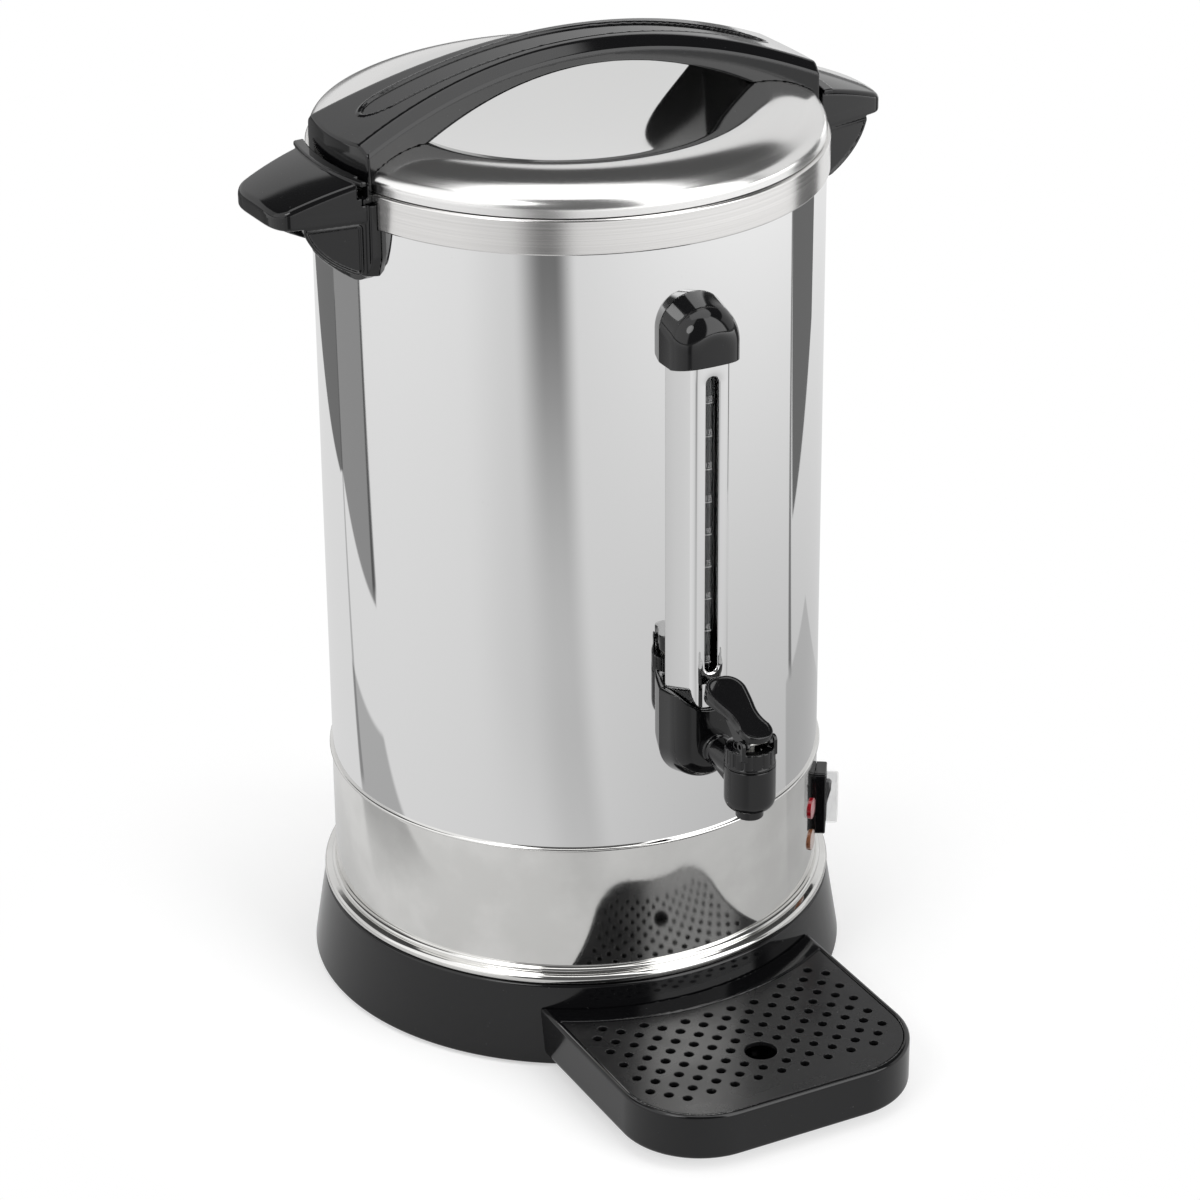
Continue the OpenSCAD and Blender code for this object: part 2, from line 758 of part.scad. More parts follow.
module tap_gasket() {
    color(rubber) intersection() {
        translate([0, -tank_in + 4, z_tap]) rotate([90, 0, 0]) difference() {
            cylinder(h = 10, r = 13);
            translate([0, 0, -1]) cylinder(h = 12, r = shank_r + turn_fit);
        }
        translate([0, 0, z_tap - 30]) cylinder(h = 60, r = tank_in - turn_fit, $fn = fine);
    }
}

module tap_nut() {
    nut_h = 6;
    color(zinc) translate([0, -tank_in + 4 + nut_h, z_tap]) rotate([90, 0, 0]) difference() {
        cylinder(h = nut_h, r = 14, $fn = 6);
        translate([0, 0, -1]) cylinder(h = nut_h + 2, r = shank_r + turn_fit);
    }
}

module tap_bonnet() {
    flutes = 20;
    flute_r = 1;
    ring_t = 4;
    outer = tap_r - 0.3;
    eye = 3.3;
    color(black) difference() {
        union() {
            translate([0, -tap_y, z_bonnet]) difference() {
                cylinder(h = bonnet_h, r = outer);
                translate([0, 0, -1]) cylinder(h = bonnet_h - ring_t + 1, r = cavity_r + 0.5);
                translate([0, 0, -1]) cylinder(h = bonnet_h + 2, r = cheek_out + 0.6);
                for (k = [0:flutes - 1]) rotate([0, 0, 360 / flutes * k])
                    translate([outer + 0.4, 0, 2.5]) cylinder(h = bonnet_h, r = flute_r);
            }
            for (side = [-1, 1]) translate([side * (ear_in + ear_t / 2), -pivot_y, 0]) {
                translate([-ear_t / 2, -eye, z_bonnet_top - ring_t])
                    cube([ear_t, 2 * eye, z_pivot - z_bonnet_top + ring_t]);
                translate([-ear_t / 2, 0, z_pivot]) rotate([0, 90, 0]) cylinder(h = ear_t, r = eye);
            }
        }
        translate([-30, -pivot_y, z_pivot]) rotate([0, 90, 0]) cylinder(h = 60, r = pin_r + 0.02);
    }
}

module lever_pin() {
    color(zinc) translate([-ear_in - ear_t, -pivot_y, z_pivot]) rotate([0, 90, 0])
        cylinder(h = 2 * (ear_in + ear_t), r = pin_r);
}

// Half outline of the paddle: a wide back lobe, a waist and a rounded front lobe
module paddle_plan() {
    back = 40;
    half = concat(
        bend([0, back], [11.5, back], [12, back - 12], 8),
        bend([12, back - 12], [11, 20], [8.6, 10], 8),
        bend([8.6, 10], [7, 2], [9.4, -5], 8),
        bend([9.4, -5], [10, -15.5], [0, -15.5], 8));
    polygon(concat(half, [for (i = [len(half) - 2:-1:1]) [-half[i][0], half[i][1]]]));
}

module tap_lever() {
    slope = 16;
    top_up = 10.4;
    paddle_t = 4;
    eye = 3.2;
    tine_y = pivot_y - lever_arm;
    z_tine = z_pivot - tine_drop;
    color(black) difference() {
        union() {
            translate([0, -tap_y, z_pivot + top_up]) rotate([slope, 0, 0]) translate([0, 0, -paddle_t])
                linear_extrude(paddle_t) paddle_plan();
            for (side = [-1, 1]) {
                translate([side > 0 ? cheek_in : -cheek_out, 0, 0]) rotate([90, 0, 90])
                    linear_extrude(cheek_out - cheek_in) {
                        translate([-pivot_y, z_pivot]) circle(eye);
                        translate([-tine_y, z_tine]) circle(tine_r);
                        polygon([[-pivot_y, z_pivot - eye], [-tine_y, z_tine - tine_r],
                            [-tine_y + 5, z_tine + 2], [-tap_y + 20, z_pivot + 13],
                            [-pivot_y - 1, z_pivot + 6], [-pivot_y - eye, z_pivot]]);
                    }
                translate([side > 0 ? stem_r + 0.6 : -cheek_in - 1, -tine_y, z_tine]) rotate([0, 90, 0])
                    cylinder(h = cheek_in - stem_r + 0.4, r = tine_r);
            }
        }
        translate([-30, -pivot_y, z_pivot]) rotate([0, 90, 0]) cylinder(h = 60, r = pin_r + turn_fit);
    }
}

z_head = z_pivot - tine_drop + tine_r + run;
cup_h = 10.5;
z_cup = z_seat + run;

module tap_stem() {
    color("#d8d6d0") translate([0, -tap_y, 0]) {
        translate([0, 0, z_cup + 2]) cylinder(h = z_head - z_cup - 2, r = stem_r);
        translate([0, 0, z_head]) cylinder(h = 2, r = head_r);
    }
}

module seat_cup() {
    color("#e7e2d6") translate([0, -tap_y, z_cup]) difference() {
        union() {
            cylinder(h = 4, r = cavity_r - 1);
            cylinder(h = cup_h, r = stem_r + 2);
        }
        translate([0, 0, 2 - fit]) cylinder(h = cup_h, r = stem_r + turn_fit);
    }
}

// One unbroken coil between the cup and the bonnet
module valve_spring() {
    turns = 4;
    steps = 12;
    sides = 6;
    wire = 0.7;
    coil_r = stem_r + 4.6;
    low = z_cup + 4 + wire + 0.2;
    high = z_bonnet + bonnet_h - 4 - wire - 0.2;
    rings = turns * steps;
    function ring(i) = let (a = 360 * i / steps, z = low + (high - low) * i / rings)
        [for (k = [0:sides - 1]) let (b = 360 * k / sides)
            [(coil_r + wire * cos(b)) * cos(a), (coil_r + wire * cos(b)) * sin(a), z + wire * sin(b)]];
    points = [for (i = [0:rings]) each ring(i)];
    walls = [for (i = [0:rings - 1], k = [0:sides - 1]) let (p = i * sides, q = (k + 1) % sides)
        each [[p + k, p + sides + k, p + sides + q], [p + k, p + sides + q, p + q]]];
    ends = [for (k = [1:sides - 2]) each [[0, k, k + 1],
        [rings * sides, rings * sides + k + 1, rings * sides + k]]];
    color(zinc) translate([0, -tap_y, 0]) polyhedron(points, concat(walls, ends));
}

// Rocker switch with a clear splash cover, and the two lamps

switch_out = 6.6;
switch_face = band_r + switch_out;
rocker_half = 9.6;
rocker_x = band_r - 2.4;
rocker_pin_r = 1.5;
pocket_half_w = rocker_half + 0.6;
pocket_half_h = 17.2;

module switch_frame() {
    body_depth = 28;
    color(black) on_side(switch_a, z_switch) difference() {
        union() {
            difference() {
                translate([band_r - 4, -switch_w / 2, -switch_h / 2])
                    cube([switch_out + 4, switch_w, switch_h]);
                translate([0, 0, -switch_h]) cylinder(h = 2 * switch_h, r = band_r + fit);
            }
            translate([band_r - body_depth, -switch_body_w / 2, -switch_body_h / 2])
                cube([body_depth + 3, switch_body_w, switch_body_h]);
        }
        translate([band_r - body_depth + 8, -pocket_half_w, -pocket_half_h])
            cube([body_depth + 10, 2 * pocket_half_w, 2 * pocket_half_h]);
        translate([rocker_x, 0, 0]) rotate([90, 0, 0]) translate([0, 0, -switch_body_w / 2 + 0.6])
            cylinder(h = switch_body_w - 1.2, r = rocker_pin_r + 0.02);
    }
}

module rocker() {
    x = rocker_x;
    color("#141415") on_side(switch_a, z_switch) difference() {
        rotate([90, 0, 0]) translate([0, 0, -rocker_half]) linear_extrude(2 * rocker_half) polygon([
            [x - 4, -6], [x - 4, 6], [x + 3, 11], [x + 11, 13.4], [x + 12.5, 12], [x + 9.6, 0.6],
            [x + 9.4, -13.6], [x + 8.2, -14.6], [x + 3, -13]]);
        translate([x, 0, 0]) rotate([90, 0, 0]) translate([0, 0, -20])
            cylinder(h = 40, r = rocker_pin_r + turn_fit);
    }
}

module rocker_pin() {
    color(zinc) on_side(switch_a, z_switch) translate([rocker_x, 0, 0]) rotate([90, 0, 0])
        translate([0, 0, -switch_body_w / 2 + 0.7]) cylinder(h = switch_body_w - 1.4, r = rocker_pin_r);
}

module switch_cover() {
    out = 7.4;
    wall = 0.9;
    half_w = pocket_half_w + 1.4;
    half_h = pocket_half_h + 0.4;
    color("#eef2f4", 0.5) on_side(switch_a, z_switch) translate([switch_face, 0, 0]) difference() {
        translate([0, -half_w, -half_h]) cube([out, 2 * half_w, 2 * half_h]);
        translate([-1, -half_w + wall, -half_h + wall])
            cube([out + 1 - wall, 2 * (half_w - wall), 2 * (half_h - wall)]);
    }
}

module lamp_lens(up) {
    dome = 2.6;
    stem = 14;
    face = 1.2;
    round_r = (lamp_r * lamp_r + dome * dome) / (2 * dome);
    on_side(lamp_a, z_band + up) translate([band_r, 0, 0]) rotate([0, 90, 0]) {
        translate([0, 0, -stem]) cylinder(h = stem + face, r = lamp_r);
        translate([0, 0, face]) intersection() {
            translate([0, 0, dome - round_r]) sphere(round_r);
            cylinder(h = dome + 1, r = lamp_r);
        }
    }
}

module lamp_red() { color("#c81e24") lamp_lens(lamp_red_up); }
module lamp_amber() { color("#b06a3c") lamp_lens(lamp_amber_up); }

module lamp_bezels() {
    color("#8e3030") for (up = [lamp_red_up, lamp_amber_up]) on_side(lamp_a, z_band + up) difference() {
        translate([band_r - 2, 0, 0]) rotate([0, 90, 0]) difference() {
            cylinder(h = 3.4, r = lamp_r + 1.3);
            translate([0, 0, -1]) cylinder(h = 8, r = lamp_r + turn_fit);
        }
        translate([0, 0, -20]) cylinder(h = 40, r = band_r + fit, $fn = fine);
    }
}

// Lid: spun steel lid with a dished middle and a plug ring, and the handle bar with its lock tabs

lid_r = body_r;
z_lid = z_rim + run;
lid_rim_h = 3.7;
shoulder_from = 60;
plug_r = tank_in - 1.5;
lid_screw_r = 1.9;
lid_screw_x = lid_r - 28;
lid_screw_y = 14;
bar_r = collar_r + 0.2;
bar_hem = z_rim + 2;

corner_c = [lid_r - lid_corner_r, z_lid + lid_rim_h];
shoulder_c = corner_c + (lid_corner_r - lid_shoulder_r) * [cos(shoulder_from), sin(shoulder_from)];
dish_r = (lid_dish_r * lid_dish_r + lid_dish * lid_dish) / (2 * lid_dish);
dish_c = [0, shoulder_c[1] + lid_shoulder_r - lid_dish + dish_r];
dish_a = asin(lid_dish_r / dish_r);

// The lid's outline moved inwards by t: corner, shoulder, a level ring and the dish
function lid_line(t) = concat(
    arc(corner_c, lid_corner_r - t, 0, shoulder_from, 8),
    arc(shoulder_c, lid_shoulder_r - t, shoulder_from, 90, 10),
    arc(dish_c, dish_r + t, dish_a - 90, -90, 12));

module lid_solid(t, base) {
    rotate_extrude() polygon(concat([[0, base], [lid_r - t, base]], lid_line(t)));
}

module at_lid_screws() {
    for (sx = [-1, 1], sy = [-1, 1])
        translate([sx * lid_screw_x, sy * lid_screw_y, 0]) children();
}

// Height of the lid's inner face near its screws
z_lid_inner = let (r = lid_shoulder_r - sheet, x = norm([lid_screw_x, lid_screw_y]) - shoulder_c[0])
    shoulder_c[1] + sqrt(r * r - x * x);

module lid_shell() {
    plug_h = 10;
    color(steel) rotate([0, 0, lid_turn]) difference() {
        union() {
            difference() {
                lid_solid(0, z_lid);
                lid_solid(sheet, z_lid - 1);
            }
            intersection() {
                translate([0, 0, z_rim - plug_h]) difference() {
                    cylinder(h = 40, r = plug_r);
                    translate([0, 0, -1]) cylinder(h = 42, r = plug_r - sheet);
                }
                lid_solid(sheet / 2, z_rim - 20);
            }
        }
        at_lid_screws() translate([0, 0, z_lid]) cylinder(h = 60, r = lid_screw_r + 0.3);
    }
}

module lid_screws() {
    head_h = 2.4;
    color(zinc) rotate([0, 0, lid_turn]) at_lid_screws() translate([0, 0, z_lid_inner - head_h - 0.8]) {
        cylinder(h = head_h, r = 4);
        cylinder(h = head_h + 11, r = lid_screw_r - turn_fit);
    }
}

module lid_gasket() {
    color("#e4e0d6") translate([0, 0, z_rim - 8]) difference() {
        cylinder(h = 4, r = tank_in - run);
        translate([0, 0, -1]) cylinder(h = 6, r = plug_r + run);
    }
}

bar_chamfer_h = 5.6;
bar_steps = 16;
bar_half = collar_r + 4;

function bar_t(x) = abs(x) / body_r;
function bar_top(x) = z_rim + bar_rise - bar_drop * bar_t(x) * bar_t(x);
function bar_w(x) = bar_w_mid + (bar_w_end - bar_w_mid) * bar_t(x) * bar_t(x);
function bar_under(x) = max(bar_hem,
    z_rim + arch_rise - (arch_rise - 19) * x * x / (arch_half * arch_half));

// A solid through a row of sections, each a ring of points at its own x
module loft(rings) {
    n = len(rings[0]);
    last = len(rings) - 1;
    walls = [for (i = [0:last - 1], k = [0:n - 1]) let (p = i * n, q = (k + 1) % n)
        each [[p + k, p + n + q, p + n + k], [p + k, p + q, p + n + q]]];
    ends = [for (k = [1:n - 2]) each [[0, k + 1, k], [last * n, last * n + k, last * n + k + 1]]];
    polyhedron([for (r = rings) each r], concat(walls, ends));
}

function bar_ring(x) = let (w = bar_w(x), c = w + bar_chamfer_w, top = bar_top(x),
        side = top - bar_chamfer_h, low = min(bar_under(x), side - 2))
    [[x, -c, low], [x, -c, side], [x, -w, top], [x, w, top], [x, c, side], [x, c, low]];

tab_leg = 2.4;
tab_low = pocket_z + 0.5;
tab_h = 3;

module lock_tab() {
    rotate([0, 0, tab_turn]) intersection() {
        translate([0, -tab_w / 2, tab_low]) cube([2 * body_r, tab_w, bar_hem + 2 - tab_low]);
        difference() {
            union() {
                cylinder(h = z_rim + 40, r = collar_r + 0.4 + tab_leg);
                cylinder(h = tab_low + tab_h, r = pocket_out - 0.5);
            }
            translate([0, 0, -1]) cylinder(h = bar_hem + 1, r = collar_r + 0.4);
            cylinder(h = z_rim + 50, r = collar_r - 1);
        }
    }
}

module lid_bar() {
    panel_half = 9.5;
    panel_end = 131;
    panel_deep = 1.2;
    color(black) rotate([0, 0, lid_turn]) {
        difference() {
            intersection() {
                loft([for (i = [-bar_steps:bar_steps]) bar_ring(bar_half * i / bar_steps)]);
                cylinder(h = z_rim + 100, r = bar_r);
            }
            lid_solid(-fit / 4, z_rim - 50);
            loft([for (i = [-bar_steps:bar_steps]) let (x = panel_end * sin(90 * i / bar_steps),
                    w = max(0.5, panel_half * cos(90 * pow(abs(i / bar_steps), 4))),
                        z = bar_top(x) - panel_deep)
                [[x, -w, z], [x, -w, z + 9], [x, w, z + 9], [x, w, z]]]);
            at_lid_screws() translate([0, 0, z_lid])
                cylinder(h = z_lid_inner + 11 - z_lid, r = lid_screw_r);
        }
        for (side = [0, 180]) rotate([0, 0, side]) lock_tab();
    }
}

// Drip tray that hooks into the skirt, and its grille

tray_top = tray_gap + tray_h;
ledge = 4;
seat_deep = grille_t + 0.8;

// Plan of the tray moved inwards by i, open at the back
module tray_plan(i) {
    r = tray_corner - i;
    half = tray_half - i;
    front = tray_front - i;
    translate([-half, -front + r]) square([2 * half, front - r - body_r / 2]);
    translate([-half + r, -front]) square([2 * (half - r), 2 * r]);
    for (side = [-1, 1]) translate([side * (half - r), -front + r]) circle(r);
}

module drip_tray() {
    floor_t = 2.5;
    color(black) difference() {
        translate([0, 0, tray_gap]) linear_extrude(tray_h) tray_plan(0);
        skirt_cone(2 * run);
        translate([0, 0, -1]) cylinder(h = skirt_gap + 2, r = skirt_foot_r + 2 * run);
        translate([0, 0, tray_top - seat_deep]) linear_extrude(tray_h) difference() {
            tray_plan(tray_t);
            circle(grille_rear);
        }
        translate([0, 0, tray_gap + floor_t]) linear_extrude(tray_h) difference() {
            tray_plan(tray_t + ledge);
            circle(grille_rear + ledge);
        }
    }
    color(black) for (side = [-1, 1]) intersection() {
        translate([side * tongue_x - tongue_w / 2, -skirt_foot_r - 4, tongue_z])
            cube([tongue_w, 4 + tongue_in + 12, tongue_h]);
        difference() {
            cylinder(h = 60, r = skirt_foot_r + 4);
            translate([0, 0, -1]) cylinder(h = 70, r = skirt_foot_r - tongue_in);
        }
    }
}

module drip_grille() {
    rows = 12;
    first_row = grille_rear + 10 - 2 * drain_dy;
    edge = 7;
    finger_y = grille_rear + 59;
    columns = ceil(tray_half / drain_dx);
    color(black) translate([0, 0, tray_top - seat_deep + run]) linear_extrude(grille_t) difference() {
        tray_plan(tray_t + run);
        circle(grille_rear + run);
        translate([0, -finger_y]) circle(finger_r);
        for (j = [0:rows - 1], k = [-columns:columns]) {
            x = k * drain_dx;
            y = first_row + j * drain_dy;
            inner = tray_corner - tray_t;
            cx = max(0, abs(x) - (tray_half - tray_t - inner));
            cy = max(0, y - (tray_front - tray_t - inner));
            if ((k + j) % 2 != 0 && norm([x, y]) > grille_rear + run + edge
                && norm([cx, cy]) < inner - edge
                && norm([x, y - finger_y]) > finger_r + drain_r + 1.5)
                translate([x, -y]) circle(drain_r);
        }
    }
}

base_skirt();
bottom_plate();
rubber_feet();
base_screws();
tie_bolt();
tie_nut();
lower_band();
outer_shell();
top_collar();
inner_tank();
heat_plate();
heating_element();
boil_thermostat();
keep_warm_thermostat();
thermal_cutout();
terminal_block();
power_inlet();
side_handle_left();
side_handle_right();
shell_screws();
gauge_cover();
gauge_cap();
sight_tube();
upper_tube_seal();
lower_tube_seal();
gauge_scale();
tap_housing();
tap_body();
tap_gasket();
tap_nut();
tap_bonnet();
lever_pin();
tap_lever();
tap_stem();
seat_cup();
valve_spring();
switch_frame();
rocker();
rocker_pin();
switch_cover();
lamp_red();
lamp_amber();
lamp_bezels();
lid_shell();
lid_bar();
lid_screws();
lid_gasket();
drip_tray();
drip_grille();
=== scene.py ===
"""Hot water urn: the finished look of every piece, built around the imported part.

Shapes are worked out in millimetres, in the part's own frame, and turned into metres as each mesh is made.
"""
import math

import bpy
import numpy as np
from mathutils import Matrix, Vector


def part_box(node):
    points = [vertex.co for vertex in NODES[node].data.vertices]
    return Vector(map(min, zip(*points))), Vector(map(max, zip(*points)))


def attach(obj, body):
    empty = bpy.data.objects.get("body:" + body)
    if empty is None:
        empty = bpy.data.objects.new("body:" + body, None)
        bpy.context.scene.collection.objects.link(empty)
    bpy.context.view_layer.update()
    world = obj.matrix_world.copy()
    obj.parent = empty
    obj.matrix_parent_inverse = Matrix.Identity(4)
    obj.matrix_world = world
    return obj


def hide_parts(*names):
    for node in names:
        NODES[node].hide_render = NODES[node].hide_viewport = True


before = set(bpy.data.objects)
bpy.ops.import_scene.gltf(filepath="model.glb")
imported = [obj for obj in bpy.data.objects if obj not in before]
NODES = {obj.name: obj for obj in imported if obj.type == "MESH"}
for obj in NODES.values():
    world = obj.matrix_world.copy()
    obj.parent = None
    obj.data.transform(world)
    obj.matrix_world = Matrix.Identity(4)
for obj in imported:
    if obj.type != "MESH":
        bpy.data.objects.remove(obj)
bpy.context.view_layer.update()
MM = 0.001
LID_TURN = math.radians(1.4)
HANDLE_TURN = math.radians(2.7)
LAMP_TURN = math.radians(47.6 - 90)


# Finishes: a wrapped socket does arithmetic, and one method makes any other node

class Wire:
    """One output socket. Arithmetic on it adds Math nodes to its finish."""

    def __init__(self, owner, socket):
        self.owner = owner
        self.socket = socket

    def math(self, operation, *others):
        sockets = dict(enumerate((self,) + others))
        return self.owner.node("ShaderNodeMath", {"operation": operation}, sockets)

    def flipped(self, operation, other):
        return self.owner.node("ShaderNodeMath", {"operation": operation}, {0: other, 1: self})

    def __add__(self, other):
        return self.math("ADD", other)

    def __sub__(self, other):
        return self.math("SUBTRACT", other)

    def __mul__(self, other):
        return self.math("MULTIPLY", other)

    def __truediv__(self, other):
        return self.math("DIVIDE", other)

    def __rsub__(self, other):
        return self.flipped("SUBTRACT", other)

    def __rtruediv__(self, other):
        return self.flipped("DIVIDE", other)

    __radd__ = __add__
    __rmul__ = __mul__

    def step(self, low, high):
        """0 below low, 1 above high, smooth between them."""
        settings = {"interpolation_type": "SMOOTHSTEP"}
        return self.owner.node("ShaderNodeMapRange", settings, {0: self, 1: low, 2: high})


class Tree:
    """The node tree of a material or of the world."""

    def __init__(self, holder):
        holder.use_nodes = True
        self.holder = holder
        self.nodes = holder.node_tree.nodes
        self.links = holder.node_tree.links

    def node(self, kind, settings=None, sockets=None, out=0):
        made = self.nodes.new(kind)
        for name, value in (settings or {}).items():
            if name == "stops":
                self.set_stops(made.color_ramp, value)
            else:
                setattr(made, name, value)
        for key, value in (sockets or {}).items():
            self.feed(made.inputs[key], value)
        return Wire(self, made.outputs[out])

    def feed(self, socket, value):
        if isinstance(value, Wire):
            self.links.new(value.socket, socket)
        else:
            socket.default_value = value

    @staticmethod
    def set_stops(ramp, stops):
        while len(ramp.elements) < len(stops):
            ramp.elements.new(1.0)
        for element, (place, shade) in zip(ramp.elements, stops):
            element.position = place
            element.color = (*shade, 1.0)

    def spot(self):
        return self.node("ShaderNodeTexCoord", out=3)

    def split(self, vector):
        parts = self.node("ShaderNodeSeparateXYZ", sockets={0: vector}).socket.node
        return [Wire(self, parts.outputs[i]) for i in range(3)]

    def join(self, x, y, z):
        return self.node("ShaderNodeCombineXYZ", sockets={0: x, 1: y, 2: z})

    def noise(self, scale, detail=2.0, vector=None, rough=0.5):
        sockets = {"Vector": vector or self.spot(), "Scale": scale, "Detail": detail, "Roughness": rough}
        return self.node("ShaderNodeTexNoise", sockets=sockets)

    def blend(self, factor, first, second):
        """Colour mix: first where factor is 0, second where it is 1."""
        return self.node("ShaderNodeMix", {"data_type": "RGBA"}, {0: factor, 6: first, 7: second}, out=2)

    def bump(self, height, strength, distance):
        sockets = {"Strength": strength, "Distance": distance, "Height": height}
        return self.node("ShaderNodeBump", sockets=sockets)


class Finish(Tree):
    """A material around one Principled shader."""

    def __init__(self, name, **plain):
        super().__init__(bpy.data.materials.new(name))
        self.shader = self.nodes["Principled BSDF"]
        self.set(**plain)

    def set(self, **sockets):
        for name, value in sockets.items():
            self.feed(self.shader.inputs[name.replace("_", " ")], value)
        return self

    @property
    def material(self):
        return self.holder


def rgb(r, g, b):
    return (r, g, b, 1.0)


def mirror_steel():
    """Polished sheet: a clean mirror with faint rubbing marks and a few specks of dust."""
    f = Finish("mirror_steel", Metallic=1.0)
    smear = f.noise(9.0, 4.0).step(0.45, 0.75)
    speck = f.noise(900.0, 1.0).step(0.79, 0.82)
    f.set(Base_Color=f.blend(speck * 0.35, rgb(0.83, 0.83, 0.83), rgb(0.45, 0.45, 0.45)))
    return f.set(Roughness=0.025 + smear * 0.025)


GRAIN_SCALE = 2200.0


def ring_grain(f, scale):
    """Fine lines that run round the axis, as a turning pad leaves them."""
    x, y, z = f.split(f.spot())
    reach = (x * x + y * y).math("SQRT")
    turn = y.math("ARCTAN2", x)
    lines = f.join(turn * 0.6, reach * scale, z * scale)
    return f.noise(1.0, 3.0, lines, 0.6), reach


def brushed_steel():
    """Collar: drawn grain round the rim."""
    f = Finish("brushed_steel", Metallic=1.0, Anisotropic=0.35)
    grain, _ = ring_grain(f, GRAIN_SCALE)
    f.set(Base_Color=f.blend(grain, rgb(0.66, 0.65, 0.64), rgb(0.88, 0.87, 0.86)))
    return f.set(Roughness=0.1 + grain * 0.12, Normal=f.bump(grain, 0.1, 0.0002))


def lid_steel():
    """Spun lid: a mirror dish inside a brushed shoulder and rim."""
    f = Finish("lid_steel", Metallic=1.0)
    grain, reach = ring_grain(f, GRAIN_SCALE)
    shoulder = reach.step(0.113, 0.119)
    rim = reach.step(0.136, 0.145)
    smear = f.noise(14.0, 4.0).step(0.45, 0.75)
    speck = f.noise(900.0, 1.0).step(0.79, 0.82)
    shade = f.blend(grain * shoulder, rgb(0.8, 0.8, 0.795), rgb(0.88, 0.87, 0.86))
    f.set(Base_Color=f.blend(speck * 0.4, shade, rgb(0.4, 0.4, 0.4)))
    f.set(Roughness=0.03 + smear * 0.02 + shoulder * (0.06 + grain * 0.06) + rim * (0.04 + grain * 0.1))
    return f.set(Normal=f.bump(grain * shoulder, 0.08, 0.0002))


def band_steel():
    """Base band: rolled sheet, a softer mirror with cloudy patches."""
    f = Finish("band_steel", Metallic=1.0)
    cloud = f.noise(22.0, 5.0).step(0.35, 0.7)
    fine = f.noise(120.0, 3.0)
    f.set(Base_Color=f.blend(cloud, rgb(0.72, 0.715, 0.7), rgb(0.82, 0.815, 0.8)))
    return f.set(Roughness=0.055 + cloud * 0.05, Normal=f.bump(fine, 0.015, 0.001))


def gloss_black():
    """Moulded black plastic with a high polish, fine ripple and a little dust."""
    f = Finish("gloss_black", IOR=1.5)
    dust = f.noise(700.0, 2.0).step(0.74, 0.8)
    rub = f.noise(40.0, 4.0).step(0.4, 0.8)
    f.set(Base_Color=f.blend(dust * 0.5, rgb(0.0035, 0.0035, 0.004), rgb(0.14, 0.14, 0.14)))
    return f.set(Roughness=0.07 + rub * 0.05 + dust * 0.3, Normal=f.bump(f.noise(60.0, 2.0), 0.01, 0.001))


def satin_black():
    """Grille plastic: the same black, less polished."""
    f = Finish("satin_black", IOR=1.5)
    dust = f.noise(500.0, 3.0).step(0.68, 0.8)
    rub = f.noise(35.0, 5.0).step(0.35, 0.75)
    f.set(Base_Color=f.blend(dust * 0.6, rgb(0.008, 0.008, 0.0085), rgb(0.12, 0.12, 0.12)))
    return f.set(Roughness=0.24 + rub * 0.12, Normal=f.bump(f.noise(90.0, 3.0), 0.03, 0.001))


def plain_metal(name, shade, rough):
    """Zinc, aluminium and element tube: cast or drawn metal with a mottled dullness."""
    f = Finish(name, Metallic=1.0)
    mottle = f.noise(160.0, 4.0)
    dark = tuple(c * 0.8 for c in shade)
    f.set(Base_Color=f.blend(mottle, rgb(*dark), rgb(*shade)))
    return f.set(Roughness=rough + mottle * 0.15, Normal=f.bump(mottle, 0.05, 0.0005))


def plain_moulding(name, shade, rough, texture):
    """Rubber, silicone, nylon, ceramic and case plastic: matt mouldings with a faint grain."""
    f = Finish(name)
    grain = f.noise(texture, 4.0)
    dark = tuple(c * 0.82 for c in shade)
    f.set(Base_Color=f.blend(grain, rgb(*dark), rgb(*shade)))
    return f.set(Roughness=rough + grain * 0.12, Normal=f.bump(grain, 0.06, 0.0005))


def tube_plastic():
    """Gauge tube: clear, a little scuffed."""
    f = Finish("tube_glass", Base_Color=rgb(0.93, 0.95, 0.95), IOR=1.45, Transmission_Weight=1.0)
    return f.set(Roughness=f.noise(200.0, 3.0).step(0.5, 0.8) * 0.06)


def cover_plastic():
    """Switch cover: thin soft plastic, a grey veil over what it covers."""
    f = Finish("clear_cover", Base_Color=rgb(0.5, 0.5, 0.51), Roughness=0.12)
    return f.set(Alpha=0.13 + f.noise(120.0, 3.0) * 0.1)


def lens_plastic(name, shade, painted_glare):
    """Pilot lamp lens: deep colour in its side, a painted whitish highlight on its face."""
    f = Finish(name, IOR=1.5, Coat_Weight=0.4)
    x, y, _ = f.split(f.spot())
    out = x * math.cos(LAMP_TURN) + y * math.sin(LAMP_TURN)
    depth = f.noise(260.0, 2.0)
    side = f.blend(depth, rgb(*(c * 0.6 for c in shade)), rgb(*shade))
    # The face colour is a painted highlight: glare on the lens face, the same under any lamp.
    f.set(Base_Color=f.blend(out.step(0.1514, 0.1519), side, rgb(*painted_glare)))
    return f.set(Roughness=0.08 + depth * 0.06)


def flat_white():
    f = Finish("scale_white", Roughness=0.5)
    wear = f.noise(900.0, 3.0).step(0.6, 0.8)
    return f.set(Base_Color=f.blend(wear * 0.4, rgb(0.4, 0.4, 0.4), rgb(0.2, 0.2, 0.2)))


